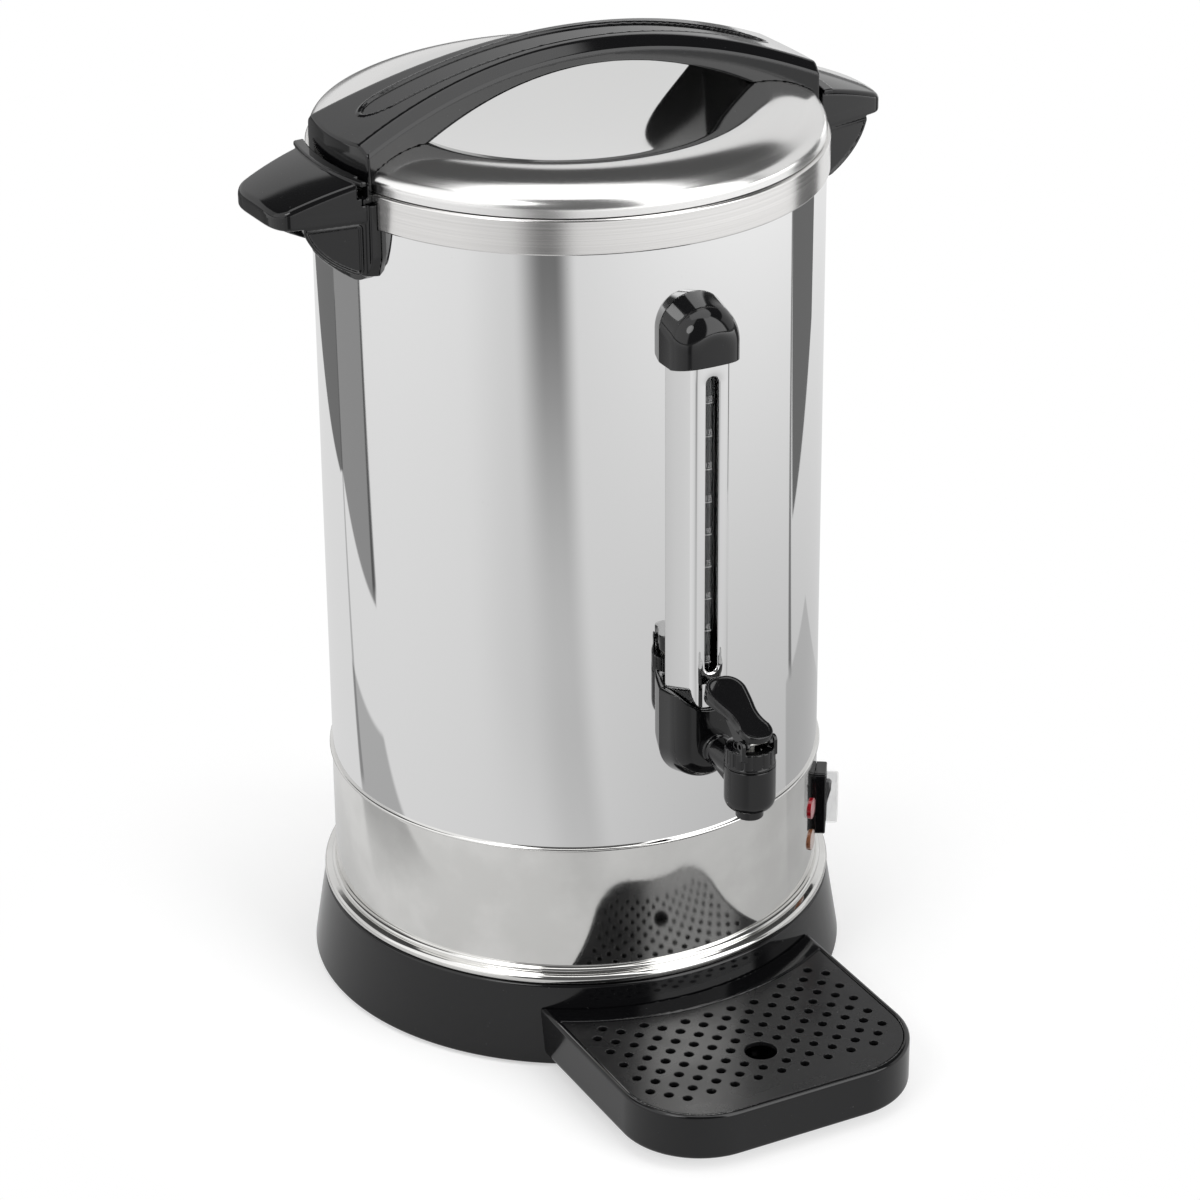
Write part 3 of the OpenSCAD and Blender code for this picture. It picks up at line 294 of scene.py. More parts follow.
MIRROR = mirror_steel()
BRUSHED = brushed_steel()
LID = lid_steel()
BAND = band_steel()
GLOSS = gloss_black()
SATIN = satin_black()
ZINC = plain_metal("zinc_plate", (0.62, 0.62, 0.6), 0.25)
ALUMINIUM = plain_metal("cast_aluminium", (0.66, 0.66, 0.67), 0.35)
ELEMENT = plain_metal("element_tube", (0.36, 0.34, 0.33), 0.35)
TANK = plain_metal("tank_steel", (0.72, 0.72, 0.71), 0.12)
RUBBER = plain_moulding("rubber_black", (0.02, 0.02, 0.021), 0.6, 300.0)
SILICONE = plain_moulding("silicone_cream", (0.72, 0.68, 0.6), 0.42, 200.0)
NYLON = plain_moulding("nylon_white", (0.7, 0.69, 0.65), 0.35, 240.0)
CASE = plain_moulding("control_case", (0.42, 0.34, 0.2), 0.45, 200.0)
CERAMIC = plain_moulding("ceramic_white", (0.76, 0.74, 0.7), 0.3, 120.0)
DARK_STRIP = plain_moulding("scale_black", (0.05, 0.05, 0.052), 0.35, 300.0)
TUBE = tube_plastic()
CLEAR = cover_plastic()
# The third colour of each lens is its painted face highlight.
RED = lens_plastic("red_lens", (0.36, 0.004, 0.012), (0.42, 0.2, 0.21))
AMBER = lens_plastic("amber_lens", (0.3, 0.12, 0.06), (0.46, 0.38, 0.35))
BEZEL = plain_moulding("lamp_bezel", (0.3, 0.27, 0.26), 0.25, 200.0)
WHITE = flat_white()


# Meshes: turned profiles, moulded fields and filled outlines

def mesh_of(name, points, faces, normals=None, crease=None):
    """A smooth mesh in metres. Faces are an array of one width, or a list of rows."""
    mesh = bpy.data.meshes.new(name)
    mesh.from_pydata(np.asarray(points) * MM, [], faces.tolist() if hasattr(faces, "tolist") else faces)
    mesh.polygons.foreach_set("use_smooth", np.ones(len(mesh.polygons), bool))
    if crease is not None:
        mesh.set_sharp_from_angle(angle=math.radians(crease))
    if normals is not None:
        mesh.normals_split_custom_set_from_vertices(normals)
    mesh.update()
    return mesh


def piece(name, mesh, finish, body, slot, *nodes):
    """One visible piece: it rides on a body and stands for CAD nodes; its slot argument is not used."""
    made = bpy.data.objects.new(name, mesh)
    bpy.context.scene.collection.objects.link(made)
    mesh.materials.clear()
    mesh.materials.append(finish.material)
    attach(made, body)
    if nodes:
        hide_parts(*nodes)
    return made


def arc(centre, radius, start, end, steps=10):
    angles = np.radians(np.linspace(start, end, steps + 1))
    return [(centre[0] + radius * math.cos(a), centre[1] + radius * math.sin(a)) for a in angles]


def bend(start, pull, end, steps=12):
    rows = []
    for t in np.linspace(0, 1, steps + 1):
        rows.append(tuple((1 - t) ** 2 * a + 2 * t * (1 - t) * b + t * t * c
                          for a, b, c in zip(start, pull, end)))
    return rows


def eased(corners, steps=6):
    """A closed outline whose corners (x, y, radius) are rounded."""
    out = []
    count = len(corners)
    for i, (x, y, radius) in enumerate(corners):
        here = np.array((x, y), float)
        back = np.array(corners[i - 1][:2]) - here
        ahead = np.array(corners[(i + 1) % count][:2]) - here
        back /= np.linalg.norm(back)
        ahead /= np.linalg.norm(ahead)
        half = math.acos(np.clip(back @ ahead, -1, 1)) / 2
        if radius == 0 or half > 1.565:
            out.append((x, y))
            continue
        reach = radius / math.tan(half)
        middle = (back + ahead) / np.linalg.norm(back + ahead)
        centre = here + middle * radius / math.sin(half)
        first, last = here + back * reach - centre, here + ahead * reach - centre
        for t in np.linspace(0, 1, steps + 1):
            spoke = first * (1 - t) + last * t
            out.append(tuple(centre + spoke * radius / np.linalg.norm(spoke)))
    return out


def held(outline, closed):
    """The outline with a point close to both ends of each long stretch, so that shading keeps it straight."""
    out = []
    count = len(outline)
    for i, (r, z) in enumerate(outline):
        out.append((r, z))
        r2, z2 = outline[(i + 1) % count]
        length = math.hypot(r2 - r, z2 - z)
        if length > 3 and (closed or i + 1 < count):
            out += [(r + (r2 - r) * t, z + (z2 - z) * t) for t in (0.3 / length, 1 - 0.3 / length)]
    return out


def turned(name, outline, steps=360, crease=32, closed=True):
    """A ring turned about Z from an outline of (r, z), open ends may lie on the axis."""
    outline = [p for i, p in enumerate(outline) if i == 0 or math.dist(p, outline[i - 1]) > 1e-6]
    points, rows = [], []
    turn = np.linspace(0, 2 * math.pi, steps, endpoint=False)
    for r, z in held(outline, closed):
        if r < 1e-6:
            rows.append([len(points)])
            points.append((0, 0, z))
        else:
            rows.append(list(range(len(points), len(points) + steps)))
            points += [(r * math.cos(a), r * math.sin(a), z) for a in turn]
    pairs = list(zip(rows, rows[1:] + rows[:1])) if closed else list(zip(rows, rows[1:]))
    faces = []
    for low, high in pairs:
        for i in range(steps):
            j = (i + 1) % steps
            if len(low) == 1 and len(high) == 1:
                continue
            if len(low) == 1:
                faces.append((low[0], high[j], high[i]))
            elif len(high) == 1:
                faces.append((low[i], low[j], high[0]))
            else:
                faces.append((low[i], low[j], high[j], high[i]))
    return mesh_of(name, points, faces, crease=crease)


def near(a, b, k):
    """The smaller of two distances, with a fillet of about k."""
    h = np.clip(0.5 + 0.5 * (b - a) / k, 0, 1)
    return b + (a - b) * h - k * h * (1 - h)


def both(a, b, k):
    """The larger of two distances, with a rounded edge of about k."""
    return -near(-a, -b, k)


def shape_2d(x, y, outline):
    """Signed distance from points to a closed outline, negative inside."""
    x, y = np.broadcast_arrays(x, y)
    best = np.full(x.shape, 1e9)
    inside = np.zeros(x.shape, bool)
    for (ax, ay), (bx, by) in zip(outline, outline[1:] + outline[:1]):
        ex, ey = bx - ax, by - ay
        t = np.clip(((x - ax) * ex + (y - ay) * ey) / (ex * ex + ey * ey + 1e-12), 0, 1)
        best = np.minimum(best, (x - ax - t * ex) ** 2 + (y - ay - t * ey) ** 2)
        if ay != by:
            inside ^= ((ay > y) != (by > y)) & (x < ax + (y - ay) * ex / (by - ay))
    return np.where(inside, -1, 1) * np.sqrt(best)


def slope_at(field, p, h=0.02):
    sides = []
    for axis in range(3):
        q = p.copy()
        q[:, axis] += h
        ahead = field(*q.T)
        q[:, axis] -= 2 * h
        sides.append((ahead - field(*q.T)) / (2 * h))
    return np.stack(sides, 1)


def mould(name, field, low, high, cell, turn=None):
    """The skin of a field's negative space: one point in each crossed cell, drawn onto the surface."""
    axes = [np.arange(a, b + cell, cell) for a, b in zip(low, high)]
    shape = tuple(len(a) for a in axes)
    x, y, z = axes[0][:, None, None], axes[1][None, :, None], axes[2][None, None, :]
    value = np.broadcast_to(field(x, y, z), shape)
    solid = value < 0
    count = np.zeros([n - 1 for n in shape], np.int8)
    corners = [(i, j, k) for i in (0, 1) for j in (0, 1) for k in (0, 1)]
    for i, j, k in corners:
        count += solid[i:shape[0] - 1 + i, j:shape[1] - 1 + j, k:shape[2] - 1 + k]
    crossed = (count > 0) & (count < 8)
    cells = np.argwhere(crossed)
    index = np.full(count.shape, -1)
    index[crossed] = np.arange(len(cells))
    total, hits = np.zeros((len(cells), 3)), np.zeros((len(cells), 1))
    for corner in corners:
        for axis in range(3):
            if corner[axis]:
                continue
            a = cells + corner
            b = a + np.eye(3, dtype=int)[axis]
            fa, fb = value[tuple(a.T)], value[tuple(b.T)]
            cut = (fa < 0) != (fb < 0)
            t = np.where(cut, fa / np.where(cut, fa - fb, 1), 0)
            total += np.where(cut[:, None], a + t[:, None] * np.eye(3)[axis], 0)
            hits += cut[:, None]
    p = np.array([a[0] for a in axes]) + cell * total / hits
    for _ in range(4):
        g = slope_at(field, p)
        move = field(*p.T)[:, None] * g / np.maximum((g * g).sum(1, keepdims=True), 0.05)
        size = np.linalg.norm(move, axis=1, keepdims=True)
        p = p - move * np.minimum(1, 0.6 * cell / np.maximum(size, 1e-9))
    faces = []
    for axis in range(3):
        u, v = (axis + 1) % 3, (axis + 2) % 3
        low_side = np.take(solid, range(shape[axis] - 1), axis)
        change = low_side != np.take(solid, range(1, shape[axis]), axis)
        spots = np.argwhere(change)
        keep = np.all([(spots[:, w] > 0) & (spots[:, w] < shape[w] - 1) for w in (u, v)], axis=0)
        spots = spots[keep]
        out = low_side[tuple(spots.T)]
        ring = []
        for du, dv in ((-1, -1), (0, -1), (0, 0), (-1, 0)):
            c = spots.copy()
            c[:, u] += du
            c[:, v] += dv
            ring.append(index[tuple(c.T)])
        quad = np.stack(ring, 1)
        faces.append(np.where(out[:, None], quad, quad[:, ::-1]))
    faces = np.concatenate(faces)
    normals = slope_at(field, p)
    normals /= np.maximum(np.linalg.norm(normals, axis=1, keepdims=True), 1e-9)
    if turn is not None:
        p, normals = p @ turn.T, normals @ turn.T
    return mesh_of(name, p, faces, normals=normals)


def spin(angle):
    c, s = math.cos(angle), math.sin(angle)
    return np.array(((c, -s, 0), (s, c, 0), (0, 0, 1)))


def filled(name, loops, low, high, ease):
    """A plate between two heights from an outline and its holes, with eased edges."""
    curve = bpy.data.curves.new(name, "CURVE")
    curve.dimensions = "2D"
    curve.fill_mode = "BOTH"
    curve.extrude = (high - low) / 2 * MM - ease * MM
    curve.bevel_depth = ease * MM
    curve.bevel_resolution = 2
    curve.offset = -ease * MM
    for loop in loops:
        spline = curve.splines.new("POLY")
        spline.points.add(len(loop) - 1)
        for point, (x, y) in zip(spline.points, loop):
            point.co = (x * MM, y * MM, 0, 1)
        spline.use_cyclic_u = True
    drawn = bpy.data.objects.new(name + ".outline", curve)
    bpy.context.scene.collection.objects.link(drawn)
    view = bpy.context.evaluated_depsgraph_get()
    mesh = bpy.data.meshes.new_from_object(drawn.evaluated_get(view))
    bpy.data.objects.remove(drawn)
    mesh.transform(Matrix.Translation((0, 0, (low + high) / 2 * MM)))
    mesh.polygons.foreach_set("use_smooth", np.ones(len(mesh.polygons), bool))
    mesh.set_sharp_from_angle(angle=math.radians(40))
    mesh.name = name
    return mesh


# Body: shell, base band, collar, skirt

BODY_R = 150.0
AGAINST_BODY = BODY_R + 0.1


def body_shell():
    outline = eased([(148.9, 141.2, 0), (150, 141.2, 0.3), (150, 531.9, 0.3), (148.9, 531.9, 0)])
    return turned("body_shell", outline)


def base_band():
    """Rolled sheet with two beads at its foot and one under the shell."""
    outline = [(149.4, 52.0)]
    outline += arc((154.7, 55.2), 3.2, -90, 62, 20)
    outline += arc((151.6, 59.4), 1.8, -30, 120, 14)
    outline += [(150.4, 61.6), (150.4, 138.2)]
    outline += arc((150.8, 140.6), 1.1, -115, 90, 16)
    outline += [(150.0, 141.7), (149.4, 141.7)]
    return turned("base_band", outline)


def rim_collar():
    outline = eased([(139.4, 531.4, 0), (150.1, 531.4, 0.4), (150.1, 512.5, 0), (151.4, 512.5, 0),
                     (152, 513.2, 0.5), (152, 532.2, 0.9), (151.2, 533, 0.4), (139.4, 533, 0)])
    return turned("rim_collar", outline)


def lid_line():
    """Corner, shoulder, brow and shallow dish of the lid, from its rim to its axis."""
    corner = arc((141, 537), 9, 0, 60, 16)
    shoulder = arc((115.5, 492.83), 60, 60, 90, 24)
    brow = arc((115.5, 452.83), 100, 90, 97.4, 8)
    r, z = brow[-1]
    hollow = r / math.sin(math.radians(7.4))
    dish = arc((0, z + hollow * math.cos(math.radians(7.4))), hollow, -82.6, -90, 44)
    dish[-1] = (0, dish[-1][1])
    return corner + shoulder[1:] + brow[1:] + dish[1:]


def lid_dome():
    top = lid_line()
    under = [(max(0, r - 1.0 * min(1, r / 40)), z - 1.0) for r, z in top[1:]][::-1]
    inner = [(r, z) for r, z in under if r < 149]
    hem = [(149.0, 537), (149.0, 533.6), (149.3, 533.3), (149.7, 533.3), (150, 533.6)]
    return turned("lid_dome", inner + hem + top, closed=False)


def lid_plug():
    outline = eased([(135.5, 523, 0.3), (136.5, 523, 0.3), (136.5, 545.3, 0), (135.5, 545.6, 0)])
    return turned("lid_plug", outline)


piece("body_shell", body_shell(), MIRROR, "body", "polished_steel", "outer_shell")
piece("base_band", base_band(), BAND, "body", "polished_steel", "lower_band")
piece("rim_collar", rim_collar(), BRUSHED, "body", "brushed_steel", "top_collar")
piece("lid_dome", lid_dome(), LID, "lid", "polished_steel", "lid_shell")
piece("lid_plug", lid_plug(), MIRROR, "lid", "polished_steel")


def lid_height(r):
    line = np.array(lid_line())[::-1]
    return np.interp(r, line[:, 0], line[:, 1])


def handle_bar(x, y, z):
    """The lid's arched bar: flat top with an inset panel, chamfered sides, feet moulded to the lid."""
    t = x / BODY_R
    tilt = np.sqrt(1 + (66 * x / BODY_R ** 2) ** 2)
    top = 591.0 - 33 * t * t
    half = 16.2 + 15.3 * t * t
    across = np.abs(y)
    roof = (z - top) / tilt
    flank = (z - top + 0.7 * (across - half)) / np.sqrt(tilt ** 2 + 0.49)
    side = (across - half - 8) / np.sqrt(1 + (30.6 * x / BODY_R ** 2) ** 2)
    arch = (578.5 - 26.5 * (x / 106) ** 2 - z) / np.sqrt(1 + (53 * x / 106 ** 2) ** 2)
    under = both(arch, 535.0 - z, 2)
    r = np.hypot(x, y)
    d = both(both(roof, flank, 1.0), side, 1.6)
    d = both(d, under, 2.2)
    d = both(d, r - 152.2, 1.6)
    panel = np.hypot(np.maximum(np.abs(x) - 115, 0) * 9.5 / 16, y) - 9.5
    d = both(d, -both(panel, -(roof + 1.2), 0.8), 0.7)
    d = near(d, np.hypot(panel - 1.3, roof + 0.25) - 0.62, 0.5)
    seat = (lid_height(np.minimum(r, 149.9)) + 0.05 - z) * 0.9
    return both(d, np.where(r < 149.9, seat, -9.0), 0.3)


def lock_tab(x, y, z):
    """A hooked tab on the bar's end, which turns under the handle's lip."""
    r = np.hypot(x, y)
    leg = both(both(np.abs(y) - 2.5, r - 154.8, 0.5), 152.4 - r, 0.5)
    leg = both(both(leg, 528 - z, 0.5), z - 538, 0.5)
    toe = both(both(both(np.abs(y) - 2.5, r - 157.9, 0.5), 152.4 - r, 0.5), both(528 - z, z - 531, 0.5), 0.5)
    return near(leg, toe, 0.8)


TAB_R, TAB_Y = 152, 38.5
TAB_TURN = math.asin(TAB_Y / TAB_R)
LOCK_TURN = math.radians(6)


def bar_with_tabs(x, y, z):
    d = handle_bar(x, y, z)
    c, s = math.cos(TAB_TURN), math.sin(TAB_TURN)
    for way in (1, -1):
        d = near(d, lock_tab(way * (c * x + s * y), way * (c * y - s * x), z), 0.6)
    return d


BAR_BOX = ((-159, -44, 526.5), (159, 44, 593))
piece("lid_handle", mould("lid_handle", bar_with_tabs, *BAR_BOX, 1.0, spin(LID_TURN)), GLOSS, "lid",
      "gloss_black", "lid_bar")


# Side handles

GRIP_END = 202.4
GRIP_SIDE = (bend((138, 41), (178, 35), (193, 31))
             + bend((193, 31), (GRIP_END, 28.5), (GRIP_END, 10))[1:] + [(GRIP_END, 0)])
GRIP_PLAN = GRIP_SIDE + [(x, -y) for x, y in GRIP_SIDE[-2::-1]]
GRIP_HALF = np.array(GRIP_SIDE)
CHEEK = ([(130, 524), (186.5, 524)] + bend((186.5, 517), (181, 499), (157, 487))
         + bend((157, 487), (150, 483.5), (130, 483.5))[1:])
PANEL_CURVE = bend((186, 515), (180.5, 499), (159, 488.5))
PANEL = eased([(155, 516, 2), (186, 516, 0)] + [(x, z, 0) for x, z in PANEL_CURVE] + [(155, 487.5, 2)])
TAB_REST = TAB_TURN + LID_TURN - HANDLE_TURN
LIP_END = TAB_R * math.sin(TAB_REST) - 3.6
POCKET_Y = TAB_R * math.sin(TAB_REST - LOCK_TURN) - 4.5


def rounded_box(x, y, half_x, half_y, radius):
    dx, dy = np.abs(x) - half_x + radius, np.abs(y) - half_y + radius
    return np.hypot(np.maximum(dx, 0), np.maximum(dy, 0)) + np.minimum(np.maximum(dx, dy), 0) - radius


def side_handle(x, y, z):
    """Grip with a crowned top, a foot against the body, a lip at the rim and a slot for the lid's tab."""
    r = np.hypot(x, y)
    plan = shape_2d(x, y, GRIP_PLAN)
    top = 542 - 0.2 * (x - 156) - 0.0022 * (x - 156) ** 2
    share = np.abs(y) / np.maximum(np.interp(x, GRIP_HALF[:, 0], GRIP_HALF[:, 1]), 12)
    grip = both(plan, (z - top + 1.8 * np.clip(share, 0, 1.2) ** 2.2) * 0.95, 3.2)
    grip = both(grip, 517.3 - z, 2.0)
    face = rounded_box(y, z - 515.25, 41.5, 35.75, 18)
    plate = both(face, r - 156, 0.9)
    wall = both(plan + 0.7, -6.5 - plan, 0.8)
    cheek = both(shape_2d(x, z, CHEEK), np.where(np.abs(y) > 20, wall, 9.0), 1.2)
    cheek = near(cheek, np.hypot(shape_2d(x, z, PANEL), plan + 1.0) - 1.1, 0.5)
    foot = near(plate, cheek, 2.0)
    d = near(grip, both(foot, z - 531, 1.0), 1.0)
    lip = both(both(r - 161.5, z - 542.6, 1.2), np.abs(y) - 42, 1.0)
    d = near(d, both(lip, 539.6 - z, 0.8), 0.8)
    bore = np.where(z < 512.4, AGAINST_BODY, AGAINST_BODY + 2)
    d = both(d, bore - r, 0.3)
    d = both(d, -both(r - 155.3, 532 - z, 0.4), 0.5)
    slot = both(both(POCKET_Y - y, r - 158.4, 0.4), both(527.5 - z, z - 539.4, 0.4), 0.4)
    notch = both(both(35 - y, r - 161, 0.4), both(531.5 - z, z - 539.4, 0.4), 0.4)
    mouth = both(both(LIP_END - y, r - 158.4, 0.4), 527.5 - z, 0.4)
    inner = both(both(POCKET_Y - y, r - 155.3, 0.4), 527.5 - z, 0.4)
    for cut in (slot, notch, mouth, inner):
        d = both(d, -cut, 0.4)
    return d


HANDLE_BOX = ((140, -45, 477), (206, 45, 545))
piece("right_handle", mould("right_handle", side_handle, *HANDLE_BOX, 0.8, spin(HANDLE_TURN)), GLOSS, "body",
      "gloss_black", "side_handle_right")
piece("left_handle", mould("left_handle", side_handle, *HANDLE_BOX, 0.8, spin(math.pi + HANDLE_TURN)), GLOSS,
      "body", "gloss_black", "side_handle_left")


# Gauge: channel, cap, scale, numbers

def channel_plan(grow, corner):
    front, y, half = 12.6 + grow, 173.5 + grow, 18.0 + grow
    side = arc((-front + corner, -y + corner), corner, 190, 270, 10)
    return [(-half, -146)] + side + [(-px, py) for px, py in side[::-1]] + [(half, -146)]


OUTER_CHANNEL, INNER_CHANNEL = channel_plan(0, 6), channel_plan(-1, 5)


def gauge_channel(x, y, z):
    """Folded channel with a slot whose edge is pressed inwards."""
    slot = np.hypot(x, np.maximum(np.abs(z - 349.5) - 87.4, 0)) - 4.1
    y2 = y - 1.3 * np.exp(-np.maximum(slot, 0) / 1.5)
    skin = both(shape_2d(x, y2, OUTER_CHANNEL), -shape_2d(x, y2, INNER_CHANNEL), 0.25)
    skin = both(skin, np.abs(z - 344) - 114, 0.2)
    skin = both(skin, AGAINST_BODY - np.hypot(x, y), 0.2)
    return both(skin, np.where(y < -166, -slot, -9.0), 0.4)


CAP_SHELL = channel_plan(0.1, 3)


def boss(x, y, past):
    """Arch-fronted moulding with a broad round edge and a ridge that falls from the wall.

    Past is the height beyond the arch's centre.
    """
    past = past - 0.28 * (y + 150)
    arch = np.where(past > 0, np.hypot(x, past), np.abs(x)) - 20.9
    return both(arch, -176.3 + x * x / 150 - y, 13.0)


def gauge_cap(x, y, z):
    d = both(boss(x, y, z - 463.5), 448.4 - 0.242 * (y + 176) - z, 0.6)
    d = both(d, AGAINST_BODY - np.hypot(x, y), 0.3)
    return both(d, -both(shape_2d(x, y, CAP_SHELL), z - 458.1, 0.4), 0.5)


def tap_housing(x, y, z):
    d = both(boss(x, y, 204.5 - z), z - 246 + 0.15 * (y + 174), 1.4)
    d = both(d, AGAINST_BODY - np.hypot(x, y), 0.3)
    d = both(d, -both(shape_2d(x, y, CAP_SHELL), 229.9 - z, 0.4), 0.5)
    return both(d, 23.1 - np.hypot(x, z - 259), 1.6)


FIRST_NUMBER, NUMBER_STEP, NUMBER_COUNT = 30, 15, 9
FIRST_MARK_Z, MARK_PITCH = 263.2, 20.13
MARK_HALF, MARK_RISE, PRINT_DEPTH = 2.1, 0.4, 0.03
PRINT_OFF = -0.6
TUBE_Y, PRINT_R = -164.5, 5.06


def figures():
    """The gauge's numbers and the lines under them, laid round the tube."""
    points, faces = [], []

    def add(corners, sides):
        start = len(points)
        points.extend(corners)
        faces.extend([start + i for i in side] for side in sides)

    for step in range(NUMBER_COUNT):
        words = bpy.data.curves.new("number", "FONT")
        words.body = str(FIRST_NUMBER + NUMBER_STEP * step)
        words.align_x = "CENTER"
        words.size = 4.8
        words.extrude = PRINT_DEPTH
        drawn = bpy.data.objects.new("number", words)
        bpy.context.scene.collection.objects.link(drawn)
        flat = bpy.data.meshes.new_from_object(drawn.evaluated_get(bpy.context.evaluated_depsgraph_get()))
        bpy.data.objects.remove(drawn)
        z = FIRST_MARK_Z + MARK_PITCH * step
        add([(0.56 * v.co.x + PRINT_OFF, v.co.y + z + 1.0, v.co.z) for v in flat.vertices],
            [list(p.vertices) for p in flat.polygons])
        corners = [(MARK_HALF * x + PRINT_OFF, z + MARK_RISE * up, out) for out in (-PRINT_DEPTH, PRINT_DEPTH)
                   for x, up in ((-1, -1), (0, -1), (1, -1), (1, 1), (0, 1), (-1, 1))]
        ring = [[i, (i + 1) % 6, (i + 1) % 6 + 6, i + 6] for i in range(6)]
        add(corners, [[5, 4, 3, 2, 1, 0], [6, 7, 8, 9, 10, 11]] + ring)
    laid = [(x, TUBE_Y - math.sqrt((PRINT_R + out) ** 2 - x * x), z) for x, z, out in points]
    return mesh_of("figures", laid, faces, crease=30)


piece("gauge_channel", mould("gauge_channel", gauge_channel, (-19, -175, 228), (19, -145, 460), 0.7), MIRROR,
      "body", "polished_steel", "gauge_cover")
piece("gauge_top", mould("gauge_top", gauge_cap, (-22, -178, 445), (22, -147, 489), 0.6), GLOSS, "body",
      "gloss_black", "gauge_cap")
piece("tap_mount", mould("tap_mount", tap_housing, (-22, -178, 182), (22, -147, 249), 0.6), GLOSS, "body",
      "gloss_black", "tap_housing")
piece("gauge_figures", figures(), WHITE, "body", "white_nylon")


# Tap: barrel, crown, paddle

TAP_Y, SHANK_Z = -218.0, 212
LEVER_PIN_Y, LEVER_PIN_Z = -226, 237
PADDLE_TILT, PADDLE_Z = math.radians(16), 247.4


WEB_SIDE = [(-176.8, SHANK_Z), (TAP_Y, SHANK_Z), (TAP_Y, 195.5), (-203.1, 195.5), (-176.8, 202)]
FLUTES = 16


def tap_barrel(x, y, z):
    r = np.hypot(x, y - TAP_Y)
    cup = both(both(r - 14.9, 192.5 - z, 8.0), z - 220.5, 0.8)
    nozzle = both(r - 8.1, np.abs(z - 192) - 5, 0.6)
    shank = both(np.hypot(x, z - SHANK_Z) - 8, np.abs(y + 172) - 46, 0.5)
    flange = both(np.hypot(x, z - SHANK_Z) - 9.6, np.abs(y + 178) - 3, 1.2)
    web = both(np.abs(x) - 3, shape_2d(y, z, WEB_SIDE), 1.2)
    d = near(near(cup, nozzle, 1.2), near(near(shank, flange, 2.5), web, 2.5), 3.0)
    d = both(d, 5.5 - r, 0.5)
    return both(d, -both(r - 11.5, 201 - z, 0.3), 0.5)


def tap_crown(x, y, z):
    r = np.hypot(x, y - TAP_Y)
    turn = np.arctan2(y - TAP_Y, x)
    step = 2 * math.pi / FLUTES
    off = (turn / step - np.round(turn / step)) * step
    flute = np.hypot((r - 14.9), off * r) - 0.8
    ring = both(both(r - 14.6, np.abs(z - 226.55) - 5.75, 1.2), 9.2 - r, 0.5)
    ring = both(ring, -both(flute, 223.2 - z, 0.4), 0.5)
    ring = near(ring, both(r - 14.9, np.abs(z - 221.6) - 0.75, 0.5), 0.2)
    ring = both(ring, -both(r - 12, z - 228.3, 0.3), 0.4)
    round_pin = np.hypot(y - LEVER_PIN_Y, np.maximum(z - LEVER_PIN_Z, 0)) - 3.3
    ear = both(np.abs(np.abs(x) - 10.25) - 1.25, both(round_pin, 228.5 - z, 0.4), 0.6)
    return near(ring, ear, 1.0)


PADDLE_HALF = (bend((0, 40), (11.5, 40), (12, 28)) + bend((12, 28), (11, 20), (8.6, 10))[1:]
               + bend((8.6, 10), (7, 2), (9.4, -5))[1:] + bend((9.4, -5), (10, -15.5), (0, -15.5))[1:])
PADDLE = PADDLE_HALF + [(-x, y) for x, y in PADDLE_HALF[-2:0:-1]]
LEVER_SIDE = [(-226, 233.8), (-218, 232.8), (-213, 236.3), (-198, 250), (-227, 243), (-229.2, 237)]


def tap_paddle(x, y, z):
    c, s = math.cos(PADDLE_TILT), math.sin(PADDLE_TILT)
    along = c * (y - TAP_Y) + s * (z - PADDLE_Z)
    up = c * (z - PADDLE_Z) - s * (y - TAP_Y)
    plan = shape_2d(x, along, PADDLE)
    plate = both(plan, both(up, -4.2 - up, 1.0), 1.3)
    depth = 4.2 + 5.0 * np.clip((along - 6) / 26, 0, 1)
    skirt = both(both(plan, -2.0 - plan, 0.5), both(up, -depth - up, 1.0), 1.0)
    cheek = both(shape_2d(y, z, LEVER_SIDE) - 0.4, np.abs(np.abs(x) - 7.3) - 1.3, 0.7)
    tine = both(np.hypot(y - TAP_Y, z - 234.3) - 1.5, np.abs(np.abs(x) - 5) - 2, 0.3)
    d = near(near(plate, skirt, 0.8), near(cheek, tine, 0.5), 1.2)
    return both(d, 1.55 - np.hypot(y - LEVER_PIN_Y, z - LEVER_PIN_Z), 0.3)


piece("tap_barrel", mould("tap_barrel", tap_barrel, (-17, -235, 181), (17, -124, 223), 0.6), GLOSS, "body",
      "gloss_black", "tap_body")
piece("tap_crown", mould("tap_crown", tap_crown, (-16, -234, 219), (16, -202, 242), 0.4), GLOSS, "body",
      "gloss_black", "tap_bonnet")
piece("tap_paddle", mould("tap_paddle", tap_paddle, (-14, -236, 230), (14, -176, 262), 0.5), GLOSS, "lever",
      "gloss_black", "tap_lever")


# Base skirt, drip tray and grille

SKIRT_LOW, SKIRT_HIGH = 2, 52
SKIRT_FOOT_R, SKIRT_TOP_R = 165.5, 157.5
TRAY_HALF, TRAY_FRONT, TRAY_BACK, TRAY_CORNER = 92.5, 286, 75, 50
DRAIN_Y, DRAIN_R = 234.2, 9.75


def skirt_ring():
    outline = eased([(162.5, SKIRT_LOW, 0.6), (SKIRT_FOOT_R, SKIRT_LOW, 1.2), (SKIRT_TOP_R, SKIRT_HIGH, 1.6),
                     (150.5, SKIRT_HIGH, 0.5), (150.5, 49.5, 0), (155.2, 49.0, 0)])
    return turned("skirt_ring", outline)


piece("base_skirt_ring", skirt_ring(), GLOSS, "body", "gloss_black", "base_skirt")


def tray_plan(x, y, inset):
    half, front, radius = TRAY_HALF - inset, TRAY_FRONT - inset, TRAY_CORNER - inset
    middle = (front - TRAY_BACK) / 2
    return rounded_box(x, y + TRAY_BACK + middle, half, middle, radius)


def skirt_r(z):
    return SKIRT_FOOT_R - (SKIRT_FOOT_R - SKIRT_TOP_R) * (z - SKIRT_LOW) / (SKIRT_HIGH - SKIRT_LOW)


